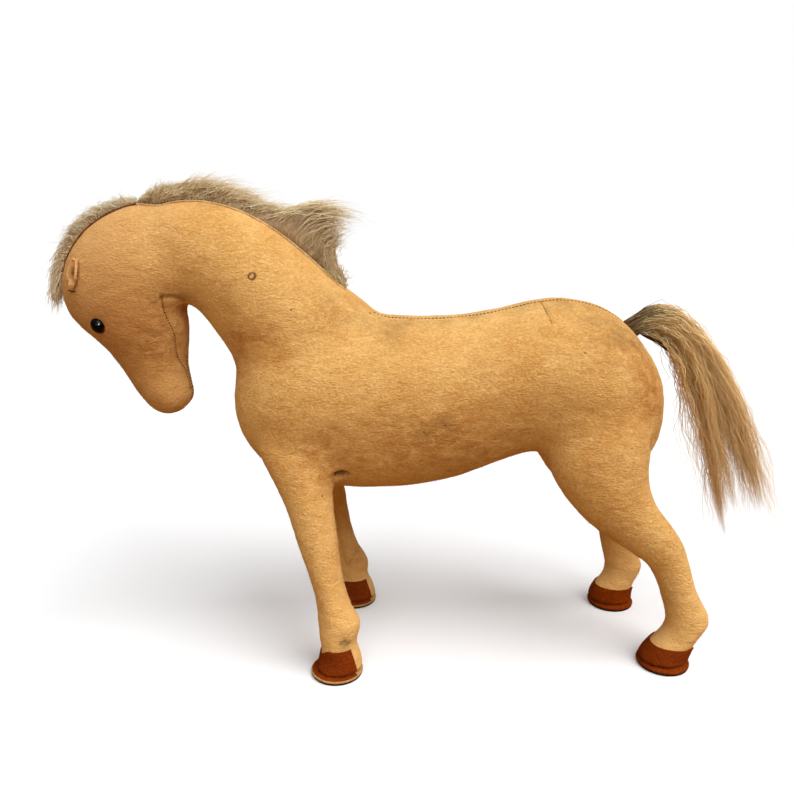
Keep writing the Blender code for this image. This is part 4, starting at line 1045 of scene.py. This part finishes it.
for way, stretch in zip((EYE_SLANT, np.cross(EYE_SLANT, (0, 1, 0))), EYE_OVAL):
    bead = bead + (bead @ way)[..., None] * way * (stretch - 1)
for side_name, side in SIDES.items():
    low, high = corners_of(f"eye_{side_name}")
    middle = (low + high) / 2
    middle[1] = (low if side < 0 else high)[1] - side * EYE_RADIUS
    eye = grid_piece(f"eye_bead_{side_name}", middle + EYE_RADIUS * bead, glass)
    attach(eye, "horse")
    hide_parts(f"eye_{side_name}")

# Ears. Each is a small leaf of the cover's felt, cupped along its length, sewn on at its
# base and laid against the head.
EAR_BASE, EAR_TIP = (75, 289), (78, 260)   # pixels
EAR_SEAM = ((70, 290), (73, 292), (76, 291))
EAR_STITCHES = 0.0012, 0.0011, 0.00060   # pitch, length, thickness
EAR_STITCH_LIFT = 0.0005
EAR_HALF_WIDTH = 0.0027
EAR_THICKNESS = 0.0011
EAR_STAND_OFF = 0.0008
EAR_CUP = 0.0020
EAR_KNOB = 0.0013
EAR_STEPS = (29, 15)
EAR_HOLLOW_SHADE = "7A4A22"                 # painted shade in the hollow of the cup


def ear_points():
    """Middle face of the left ear. At a share s of its length its half width is
    w·(1 - |2s - 1|³)^½, drawn in at the base where it is pinched together. Across t the
    face rises by the cup times |t|^2.2, and the pinched base rises as a knob."""
    base, tip = on_skin(seen_at((EAR_BASE, EAR_TIP)))[0]
    s = np.linspace(0, 1, EAR_STEPS[0])[:, None]
    t = np.linspace(-1, 1, EAR_STEPS[1])[None]
    half = EAR_HALF_WIDTH * np.sqrt(np.maximum(1 - np.abs(2 * s - 1) ** 3, 0.03))
    half *= np.interp(s, (0, 0.22, 0.36, 1), (0.66, 0.60, 1, 0.94))
    up = (tip - base) / np.linalg.norm(tip - base)
    outwards = on_skin([(base + tip) / 2])[1][0]
    across = np.cross(outwards, up)
    flat = base + s[..., None] * (tip - base) + (half * t)[..., None] * across
    places, ways = on_skin(flat.reshape(-1, 3))
    cupped = EAR_CUP * np.abs(t) ** 2.2 * np.interp(s, (0, 0.2, 0.4, 1), (0.1, 0.2, 1, 0.7))
    lift = EAR_STAND_OFF + cupped + EAR_KNOB * np.exp(-((s - 0.12) / 0.13) ** 2)
    return (places + ways * lift.reshape(-1, 1)).reshape(*EAR_STEPS, 3)


ear_felt, ear_tree, ear_colour, _ = felt_material(
    "ear_wool_felt_cut", "E8B478", "CC9456", FELT_FIBRE, FELT_PALE
)
# Painted shade: the ear darkens in the middle of its cupped hollow.
ear_hollow_shade = add_node(ear_tree, "Attribute", output="Fac", attribute_name="hollow")
wire(ear_tree, Base_Color=layered(ear_tree, ear_colour, (EAR_HOLLOW_SHADE, ear_hollow_shade)))
ear_along, ear_across = np.linspace(0, 1, EAR_STEPS[0])[:, None], np.linspace(-1, 1, EAR_STEPS[1])
ear_inside_shade = 0.95 * np.exp(-((ear_along - 0.55) / 0.22) ** 2) * (1 - ear_across ** 2)
left_ear = ear_points()
for side_name, side in SIDES.items():
    shape = left_ear if side < 0 else left_ear * (1, -1, 1)
    ear = grid_piece(f"ear_leaf_{side_name}", shape, ear_felt, joined=False, hollow=ear_inside_shade.ravel())
    shape_by(ear, "SOLIDIFY", thickness=EAR_THICKNESS, offset=0)
    shape_by(ear, "BEVEL", width=EAR_THICKNESS * 0.4, segments=3, limit_method="ANGLE")
    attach(ear, f"ear_{side_name}")
    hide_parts(f"ear_{side_name}")
ear_seam = sewn(seen_at(EAR_SEAM))
ear_stitches = stitch_piece(
    "ear_stitches",
    [stitch_points(line, *EAR_STITCHES, EAR_STITCH_LIFT) for line in (ear_seam, mirrored(ear_seam))],
)
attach(ear_stitches, "horse")

# Mane, forelock and tail. Real mohair, sewn and glued into narrow strips. Every hair is
# a thin closed tube along a Bezier curve between guide hairs; guides are pixels of the
# photograph, each a root, its bends and a tip.
HAIR_SIDES = 3
HAIR_STEPS = 9                        # along a hair of the mane or forelock
KINK = 0.00042
LOCK_TONE = 0.3                       # share of a hair's tone that is its lock's


def on_middle_plane(pixels):
    """Points where the sight lines through pixels cross the horse's middle plane."""
    lines = sight_lines(np.reshape(pixels, (-1, 2)))
    reach = -CAMERA_PLACE[1] / lines[:, 1]
    return (CAMERA_PLACE + lines * reach[:, None]).reshape(*np.shape(pixels)[:-1], 3)


def along_curves(controls, t):
    """Points of Bezier curves at the shares t of each: the sum over k of
    C(n, k)·t^k·(1 - t)^(n - k) times control point k."""
    n = controls.shape[1] - 1
    weights = np.stack([math.comb(n, k) * t ** k * (1 - t) ** (n - k) for k in range(n + 1)], 2)
    return weights @ controls


def between_guides(guides, stations):
    """Control points at stations from 0 to 1 along a row of guides."""
    known = np.linspace(0, 1, len(guides))
    flat = guides.reshape(len(guides), -1)
    found = np.stack([np.interp(stations, known, column) for column in flat.T], 1)
    return found.reshape(len(stations), *guides.shape[1:])


def hair_piece(name, paths, thickness, tones, material):
    """Hairs as one mesh. A hair's radius is r·(1 - t^2.5) along its path, and zero at its
    root; each hair has its own tone, and pale hairs are up to twice as thick as dark ones."""
    count, steps = paths.shape[:2]
    ways = np.gradient(paths, axis=1)
    ways /= np.linalg.norm(ways, axis=2)[:, :, None] + 1e-12
    first = np.cross(ways, (0.13, 1, 0.07))
    first /= np.linalg.norm(first, axis=2)[:, :, None] + 1e-12
    second = np.cross(ways, first)
    t = np.linspace(0, 1, steps)
    radius = (0.65 + 0.7 * tones[:, None]) * thickness / 2 * (1 - t ** 2.5)
    radius[:, 0] = 0
    turn = full_turn(HAIR_SIDES)[:, None]
    ring = first[:, :, None] * np.cos(turn) + second[:, :, None] * np.sin(turn)
    return new_piece(
        name, paths[:, :, None] + ring * radius[..., None, None],
        repeated(grid_faces(steps, HAIR_SIDES), count, steps * HAIR_SIDES), material, merge=1e-8,
        tone=np.repeat(tones, steps * HAIR_SIDES), along=np.tile(np.repeat(t, HAIR_SIDES), count),
    )


def hair_material(name, dark, light, root_shades):
    """Mohair: tones that differ from lock to lock and hair to hair, with a soft gleam.
    Each stage is a darker colour, fading from its most at the root to none at its
    reach: painted shade deep in the hair near its roots."""
    material, tree = blank_material(name, Roughness=0.5, Specular_IOR_Level=0.06)
    tone = add_node(tree, "Attribute", output="Fac", attribute_name="tone")
    along = add_node(tree, "Attribute", output="Fac", attribute_name="along")
    layers = [(stage, along, reach, 0.0, most) for reach, most, stage in root_shades]
    wire(tree, Base_Color=layered(tree, dark, (light, tone), *layers))
    return material


def gathered(paths, leaders, share):
    """Draws hairs into locks, each towards its lock's middle by the share times t^1.5, so
    that locks are loose at the root and close at the tip. Returns the paths, and tones
    that are partly the lock's and mostly the hair's own; few hairs are pale."""
    place = paths[:, -1, 0] + 1.7 * paths[:, -1, 2] + random.normal(0, 0.002, len(paths))
    own = np.argsort(np.argsort(place)) * leaders // len(paths)
    flat = paths.reshape(len(paths), -1)
    middles = np.stack([np.bincount(own, column, leaders) for column in flat.T], 1)
    middles = (middles / np.bincount(own, minlength=leaders)[:, None]).reshape(leaders, -1, 3)
    t = np.linspace(0, 1, paths.shape[1])[:, None]
    tones = LOCK_TONE * random.random(leaders)[own] + (1 - LOCK_TONE) * random.random(len(paths)) ** 1.6
    return paths + (middles[own] - paths) * share * t ** 1.5, tones


def curled(paths, size, angles):
    """Adds a sine wave of its own to each hair, growing along it to about the size and
    running through an angle within the range, and small kinks."""
    count, steps = paths.shape[:2]
    t = np.linspace(0, 1, steps)
    phase = random.uniform(0, 2 * math.pi, (count, 3, 1))
    waves = np.sin(phase + t * random.uniform(*angles, (count, 1, 1))).transpose(0, 2, 1)
    waves = waves * size * random.uniform(0.4, 1.6, (count, 1, 1)) * t[:, None]
    return paths + waves + random.normal(0, KINK, paths.shape) * np.minimum(t * 6, 1)[:, None]


def grown(guides, count, half_width, spread_out, ragged, stray):
    """Hair paths from a strip on the middle line. Stations and sideways places are
    random; the roots sit on the cover, and the hairs spread sideways, stray and differ
    in length."""
    station = random.random(count)
    aside = random.uniform(-1, 1, count)
    controls = between_guides(guides, station)
    order = np.arange(guides.shape[1]) / (guides.shape[1] - 1)
    controls[:, :, 1] += aside[:, None] * half_width * (1 + (spread_out - 1) * order)
    controls += random.normal(0, stray, controls.shape) * order[:, None]
    shift = on_skin(controls[:, 0])[0] - controls[:, 0]
    controls += shift[:, None] * (1 - order[:, None]) ** 1.5
    reach = random.uniform(1 - ragged, 1.06, (count, 1))
    return along_curves(controls, reach * np.linspace(0, 1, HAIR_STEPS))


# Neck mane. At the poll the hairs stand up and are clipped short; further back they lie
# over backwards, and end in two loose tufts.
MANE_GUIDES = (
    ((140, 205), (142, 202), (148, 200)),
    ((151, 203), (149, 194), (159, 188)),
    ((165, 200), (159, 183), (174, 175)),
    ((185, 200), (176, 178), (201, 171)),
    ((206, 202), (200, 180), (228, 176)),
    ((228, 206), (227, 190), (254, 190)),
    ((248, 213), (256, 201), (278, 206)),
    ((266, 223), (276, 208), (306, 211)),
    ((281, 231), (300, 192), (350, 206)),
    ((293, 241), (318, 196), (366, 224)),
    ((306, 253), (332, 224), (352, 238)),
    ((318, 264), (338, 240), (354, 249)),
    ((331, 277), (343, 262), (346, 265)),
    ((345, 290), (350, 279), (352, 284)),
)
MANE_COUNT = 3400
MANE_HALF_WIDTH = 0.0048
MANE_HAIR = 0.00038
MANE_LOCKS = 420
mane_guides = on_middle_plane(MANE_GUIDES)
mane_paths = grown(mane_guides, MANE_COUNT, MANE_HALF_WIDTH, spread_out=1.4, ragged=0.50, stray=0.0026)
mane_paths = curled(mane_paths, size=0.0009, angles=(8, 24))
mane_paths, mane_tones = gathered(mane_paths, MANE_LOCKS, share=0.30)
# The mane's darker root stage is painted shade deep in its hair.
mane_hair = hair_material("mohair_grey_beige", "D4B078", "FFF6D4", ((0.42, 0.80, "A68A54"),))
mane = hair_piece("mane_hairs", mane_paths, MANE_HAIR, mane_tones, mane_hair)
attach(mane, "horse")
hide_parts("mane")


def pile_core(guides, half_width, fullness, stations=90, around=20):
    """The closed mass of hair inside a strip's pile: at each station an arch whose
    height follows the guide by the fullness times sin(a), and whose feet stand on the
    cover at plus and minus the half width."""
    controls = between_guides(guides, np.linspace(0, 1, stations))
    ends = np.sin(np.linspace(0, math.pi, stations))[:, None] ** 0.35
    a = np.linspace(0, math.pi, around)
    middle = along_curves(controls, fullness * np.sin(a) * (0.2 + 0.8 * ends))
    middle[..., 1] -= np.cos(a) * half_width * (0.3 + 0.7 * ends)
    middle[..., 2] -= 0.0012 * (1 - np.sin(a))
    return middle


def tube_piece(name, rings, material):
    """A piece from the rings of a tube, closed by a point at both ends."""
    first, last = (np.broadcast_to(ring.mean(0), ring.shape) for ring in (rings[0], rings[-1]))
    return grid_piece(name, np.concatenate((first[None], rings, last[None])), material)


mane_pile = pile_core(mane_guides, MANE_HALF_WIDTH, fullness=0.55)
massed_hair = streaked_material(
    "mohair_massed_grey_beige", "8A7048", "BC9E70", 1300.0, (1.0, 1.0, 0.3), Roughness=0.8
)
mane_core = tube_piece("mane_mass", mane_pile, massed_hair)
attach(mane_core, "horse")

# Backing strips. The mane is sewn to a pale felt tape and the forelock to brown leather;
# each strip lies on the cover with only its two edges showing, under a row of stitches.
STRIP_THICKNESS = 0.0008
STRIP_OVERHANG = 0.0004               # past the hair on each side
EDGE_STITCHES = 0.0016, 0.0009, 0.00034   # pitch, length, thickness


def strip_points(guides, half_width, stations=120, across=13):
    """A band laid on the cover along the roots of the guides, stations long, reaching the
    half width to each side."""
    roots = between_guides(guides, np.linspace(0, 1, stations))[:, 0]
    sideways = np.linspace(-1, 1, across)[:, None] * np.array((0, half_width, 0))
    places, ways = on_skin((roots[:, None] + sideways).reshape(-1, 3))
    return (places + ways * STRIP_THICKNESS * 0.45).reshape(stations, across, 3)


def laid_strip(name, guides, half_width, material):
    """The strip with its thickness and rounded edges, riding on the horse."""
    shape = strip_points(guides, half_width + STRIP_OVERHANG)
    strip = grid_piece(name, shape, material, joined=False)
    shape_by(strip, "SOLIDIFY", thickness=STRIP_THICKNESS, offset=0)
    shape_by(strip, "BEVEL", width=STRIP_THICKNESS * 0.3, segments=2, limit_method="ANGLE")
    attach(strip, "horse")
    rows = [stitch_points(shape[:, column], *EDGE_STITCHES, STRIP_THICKNESS) for column in (1, -2)]
    edge = stitch_piece(f"{name}_stitches", rows)
    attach(edge, "horse")


tape = felt_material("tape_wool_felt_cut", "EACB94", "C8A066", "8A6430", FELT_PALE)[0]
laid_strip("mane_tape", mane_guides, MANE_HALF_WIDTH, tape)

# Forelock. The second strip runs from the poll down the brow; its pile is brushed
# forwards, and its lowest hairs hang over the forehead.
FORELOCK_GUIDES = (
    ((140, 204), (134, 199), (127, 199)),
    ((126, 208), (118, 202), (110, 205)),
    ((112, 213), (104, 205), (94, 211)),
    ((98, 221), (90, 212), (79, 220)),
    ((86, 232), (77, 223), (67, 236)),
    ((77, 243), (67, 238), (58, 254)),
    ((71, 253), (59, 254), (51, 279)),
    ((67, 263), (55, 276), (53, 306)),
    ((65, 272), (58, 289), (59, 313)),
)
FORELOCK_COUNT = 2800
FORELOCK_HALF_WIDTH = 0.0050
FORELOCK_LOCKS = 300
forelock_guides = on_middle_plane(FORELOCK_GUIDES)
forelock_paths = grown(
    forelock_guides, FORELOCK_COUNT, FORELOCK_HALF_WIDTH, spread_out=1.2, ragged=0.55, stray=0.0024
)
forelock_paths = curled(forelock_paths, size=0.0008, angles=(8, 24))
forelock_paths, forelock_tones = gathered(forelock_paths, FORELOCK_LOCKS, share=0.25)
# The forelock's darker root stage is painted shade deep in its hair.
forelock_hair = hair_material("mohair_clipped", "E6C694", "FFFFEC", ((0.34, 0.55, "C4A670"),))
forelock = hair_piece("forelock_hairs", forelock_paths, MANE_HAIR, forelock_tones, forelock_hair)
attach(forelock, "horse")
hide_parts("forelock")
forelock_pile = pile_core(forelock_guides, FORELOCK_HALF_WIDTH, fullness=0.50)
forelock_core = tube_piece("forelock_mass", forelock_pile, massed_hair)
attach(forelock_core, "horse")
strip_leather = streaked_material(
    "strip_leather_cut", "8A5A34", "5E381E", 500.0, (1, 3, 1), Roughness=0.7, Specular_IOR_Level=0.05
)
laid_strip("forelock_strip", forelock_guides, FORELOCK_HALF_WIDTH, strip_leather)

# Dock. A stub of brown leather rolled round the bound end of the tail and sewn into
# the rump. It sits where its node sits.
DOCK_ROOT, DOCK_END = np.array((0.1015, 0, 0.1669)), np.array((0.1150, 0, 0.1763))
DOCK_WAY = (DOCK_END - DOCK_ROOT) / np.linalg.norm(DOCK_END - DOCK_ROOT)
DOCK_RADIUS = 0.0048


def dock_points(steps=24, around=40):
    """A tube along the dock's line with a rounded end, and creases where the leather
    is gathered: r·(1 + 0.04·cos(9a + 2t))."""
    t = np.linspace(0, 1, steps)[:, None]
    line = DOCK_ROOT + (DOCK_END - DOCK_ROOT) * t
    a = full_turn(around)
    radius = DOCK_RADIUS * (1 - t ** 12) * (1 + 0.04 * np.cos(9 * a + 2 * t))
    upright = np.cross((0, 1, 0), DOCK_WAY)
    across = np.cos(a)[:, None] * np.array((0, 1, 0)) + np.sin(a)[:, None] * upright
    return line[:, None] + radius[..., None] * across


dock_leather = streaked_material(
    "dock_leather_rolled", "5A361C", "341C0E", 500.0, (1, 3, 1), Roughness=0.7, Specular_IOR_Level=0.05
)
dock = tube_piece("dock_tube", dock_points(), dock_leather)
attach(dock, "tail_dock")
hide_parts("tail_dock")

# Tail. Long hair rises round the dock, falls over in an arch and hangs, thinner and
# parted into two locks and many wisps towards its end.
TAIL_GUIDES = (
    ((640, 332), (700, 330), (668, 447), (699, 496)),
    ((640, 324), (711, 315), (690, 432), (719, 532)),
    ((638, 320), (708, 298), (701, 418), (727, 542)),
    ((634, 317), (698, 299), (713, 408), (732, 532)),
    ((634, 315), (698, 289), (728, 400), (752, 514)),
    ((634, 313), (696, 282), (737, 394), (778, 532)),
    ((634, 312), (693, 277), (745, 396), (786, 531)),
)
TAIL_REACHES = (1.00, 0.98, 1.02, 0.90, 0.86, 1.02, 1.02)   # longest hairs at each guide
TAIL_LOCK_STATIONS, TAIL_LOCK_SHARE = (0.34, 0.88), 0.45   # where the two locks hang
TAIL_LAYERS = (                       # hairs, locks, their share, wildness, curl, shortest
    (700, 26, 0.84, 0.0012, 0.0008, 0.86),
    (1400, 160, 0.60, 0.0022, 0.0013, 0.55),
    (1400, 900, 0.10, 0.0033, 0.0019, 0.42),
)
TAIL_HALF_WIDTH = 0.0080
TAIL_FIRST_STATION = 0.22             # along the row of guides, where all but the wisps begin
TAIL_WISPS, TAIL_WISP_STATION = 0.035, 0.08   # share that hangs beside the rump, before here
TAIL_WRAP = math.radians(98)          # of the roots, either way from the dock's top
TAIL_FURTHEST = 0.1960                # x that guides and strays keep within
TAIL_HAIR = 0.00036
TAIL_STEPS = 22
tail_guides = on_middle_plane(TAIL_GUIDES)


def tail_paths(count, wild, shortest):
    """Tail hairs. Each root lies round the dock, from its near side over its top to its
    far side. Where a hair sits sets how it fans out; single hairs stray by the
    wildness, more towards their tips."""
    station = TAIL_FIRST_STATION + (1 - TAIL_FIRST_STATION) * random.beta(1.2, 1.15, count)
    lock = random.choice(TAIL_LOCK_STATIONS, count) + random.normal(0, 0.05, count)
    station = np.where(random.random(count) < TAIL_LOCK_SHARE, np.clip(lock, 0, 1), station)
    wisps = random.random(count) < TAIL_WISPS
    station = np.where(wisps, random.uniform(0, TAIL_WISP_STATION, count), station)
    round_dock = random.uniform(-1, 1, count) * TAIL_WRAP
    aside = np.sin(round_dock) * random.uniform(0.3, 1.0, count)
    controls = between_guides(tail_guides, station)
    upright = np.cross((0, -1, 0), DOCK_WAY)
    out = np.cos(round_dock)[:, None] * upright + np.sin(round_dock)[:, None] * np.array((0, 1, 0))
    along = random.beta(0.6, 2.6, count)[:, None]
    controls[:, 0] = DOCK_ROOT + along * (DOCK_END - DOCK_ROOT) + out * DOCK_RADIUS * 0.98
    controls[:, 1:, 1] += aside[:, None] * TAIL_HALF_WIDTH * np.array((0.65, 1.0, 0.9))
    controls[:, 1, 2] += np.cos(round_dock) * 0.003
    controls[:, 1:] += random.normal(0, 1, controls[:, 1:].shape) * wild * np.array((0.4, 1.0, 2.0))[:, None]
    controls[..., 0] = np.minimum(controls[..., 0], TAIL_FURTHEST)
    longest = np.interp(station, np.linspace(0, 1, len(TAIL_GUIDES)), TAIL_REACHES)
    reach = longest * random.uniform(shortest, 1, count)
    return along_curves(controls, reach[:, None] * np.linspace(0, 1, TAIL_STEPS))


TAIL_ROOT_SHADES = (0.42, 0.80, "8C7A50"), (0.18, 0.95, "2A1C0E")   # reach, most, colour; painted shade among the roots, darkest under the dock
tail_hair = hair_material("mohair_fawn", "EEB86E", "FFEEBC", TAIL_ROOT_SHADES)
for layer, (count, locks, share, wild, curl, shortest) in enumerate(TAIL_LAYERS, 1):
    hairs, tones = gathered(tail_paths(count, wild, shortest), locks, share)
    hairs = curled(hairs, curl, angles=(12, 38))
    tail = hair_piece(f"tail_hairs_{layer}", hairs, TAIL_HAIR, tones, tail_hair)
    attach(tail, "tail_hair")
    if layer == 1:
        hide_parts("tail_hair")

# The dock's leather runs on as a tongue under the first of the hair.
TONGUE_PIXELS = ((634, 328), (643, 335), (652, 339), (661, 344), (669, 352))
TONGUE_HALF_WIDTH, TONGUE_THICKNESS = 0.0036, 0.0016


def tongue_points(around=28):
    """A flat oval tube along the tongue's line, whose ends close by sin(a)^0.3."""
    line = even_steps(spread(on_middle_plane(TONGUE_PIXELS), 40), 0.0006)
    way = np.gradient(line, axis=0)
    way /= np.linalg.norm(way, axis=1)[:, None]
    up = np.cross(way, (0, 1, 0))[:, None]
    turn = full_turn(around)[:, None]
    ends = np.sin(np.linspace(0, math.pi, len(line)))[:, None, None] ** 0.3
    rings = np.cos(turn) * np.array((0, TONGUE_HALF_WIDTH, 0)) + up * np.sin(turn) * TONGUE_THICKNESS / 2
    return line[:, None] + rings * ends


tongue = tube_piece("tail_tongue", tongue_points(), dock_leather)
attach(tongue, "tail_hair")

TAIL_CORE_REACH = 0.58                # of the hair's length


def tail_core(steps=60, around=36):
    """The closed mass inside the tail: an oval between the second guide and the last
    but one, drawn in to a point below and grooved into locks."""
    t = np.linspace(0, 1, steps)
    inner, outer = along_curves(tail_guides[[1, -2]], np.stack((t, t)) * TAIL_CORE_REACH)
    swell = (np.sin(math.pi / 2 * np.minimum(t * 1.6, 1) ** 0.5) * (1 - t ** 2.2)).clip(0.02, 1)
    a = full_turn(around)
    grooves = 1 + 0.07 * np.cos(7 * a + 3 * t[:, None])
    middle, arm = (inner + outer) / 2, (outer - inner) / 2
    arm_length = np.linalg.norm(arm, axis=1)[:, None]
    arm = arm / arm_length * np.maximum(arm_length, 0.003)
    reach = (np.cos(a) * grooves * swell[:, None] * 0.78)[..., None] * arm[:, None]
    aside = (np.sin(a) * grooves * swell[:, None])[..., None] * np.array((0, TAIL_HALF_WIDTH * 0.6, 0))
    return middle[:, None] + reach + aside


massed_tail = streaked_material(
    "mohair_massed_fawn", "BA9058", "EEC288", 1300.0, (1.0, 1.0, 0.12), Roughness=0.8
)
tail_inside = tube_piece("tail_mass", tail_core(), massed_tail)
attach(tail_inside, "tail_hair")

# Studio. A white floor without end, a bright sky of even light, and a broad sun high at
# the camera's right whose soft shadow falls back and to the left. A weak lamp fills from
# the front, and a bright one shows only as the spot in the eye.
FLOOR_HALF = 6.0
FLOOR_SEEN = (0.86, 0.865, 0.87, 1)   # to the camera
FLOOR_LIT = (0.30, 0.16, 0.035, 1)    # and to the horse above it, so that its belly stays dark
FLOOR_GLOW = 0.07                     # only where the camera looks at the floor
SKY_LOW, SKY_HIGH = (0.11, 0.07, 0.025, 1), (0.71, 0.725, 0.75, 1)   # at the horizon and overhead
SKY_CURVE = 1.6                       # power of the height by which it brightens
WHITE = (1, 1, 1, 1)
KEY_STRENGTH = 2.80
KEY_SPREAD = math.radians(46)
KEY_FROM = (0.51, -0.40, 1.0)
LAMPS = {                             # place, size, power, lights matt surfaces
    "front_fill": ((-0.22, -0.90, 0.50), 0.50, 2.1, True),
    "catch_light": ((0.30, -0.80, 0.66), 0.24, 22.0, False),
}
floor_mesh = bpy.data.meshes.new("floor")
floor_corners = [(x * FLOOR_HALF, y * FLOOR_HALF, 0) for x, y in ((-1, -1), (1, -1), (1, 1), (-1, 1))]
floor_mesh.from_pydata(floor_corners, [], [(0, 1, 2, 3)])
floor = put_in_scene("floor", floor_mesh)
floor_paper, floor_tree = blank_material(
    "white_backdrop_paper", Roughness=1.0, Specular_IOR_Level=0, Emission_Color=WHITE
)
floor_ray = add_node(floor_tree, "LightPath", output="Is Camera Ray")
floor_glow = add_node(floor_tree, "Math", {0: floor_ray, 1: FLOOR_GLOW}, operation="MULTIPLY")
floor_colour = add_node(floor_tree, "Mix", {0: floor_ray, 6: FLOOR_LIT, 7: FLOOR_SEEN}, 2, data_type="RGBA")
wire(floor_tree, Base_Color=floor_colour, Emission_Strength=floor_glow)
floor_mesh.materials.append(floor_paper)

world = bpy.data.worlds.new("studio")
bpy.context.scene.world = world
world.use_nodes = True
sky = world.node_tree
sky_way = add_node(sky, "TexCoord", output="Generated")
sky_height = add_node(sky, "MapRange", {"Value": add_node(sky, "SeparateXYZ", {0: sky_way}, "Z")})
sky_share = add_node(sky, "Math", {0: sky_height, 1: SKY_CURVE}, operation="POWER")
sky_light = add_node(sky, "Mix", {0: sky_share, 6: SKY_LOW, 7: SKY_HIGH}, 2, data_type="RGBA")
rays = [add_node(sky, "LightPath", output=f"Is {kind} Ray") for kind in ("Camera", "Transmission")]
seen = add_node(sky, "Math", dict(enumerate(rays)), operation="MAXIMUM")
sky_colour = add_node(sky, "Mix", {0: seen, 6: sky_light, 7: WHITE}, 2, data_type="RGBA")
sky.links.new(sky_colour, sky.nodes["Background"].inputs["Color"])


def light_towards(name, light, way):
    """A light of the scene that stands or shines from the way's end."""
    lamp = put_in_scene(name, light)
    lamp.rotation_euler = Vector(way).to_track_quat("Z", "Y").to_euler()
    return lamp


key = bpy.data.lights.new("key", "SUN")
key.energy = KEY_STRENGTH
key.angle = KEY_SPREAD
light_towards("key", key, KEY_FROM)
for lamp_name, (place, size, power, lights_matt) in LAMPS.items():
    area = bpy.data.lights.new(lamp_name, "AREA")
    area.energy = power
    area.size = size
    area_lamp = light_towards(lamp_name, area, Vector(place) - Vector(EYE_MIDDLE))
    area_lamp.location = place
    area_lamp.visible_diffuse = lights_matt
bpy.context.scene.view_settings.view_transform = "Standard"
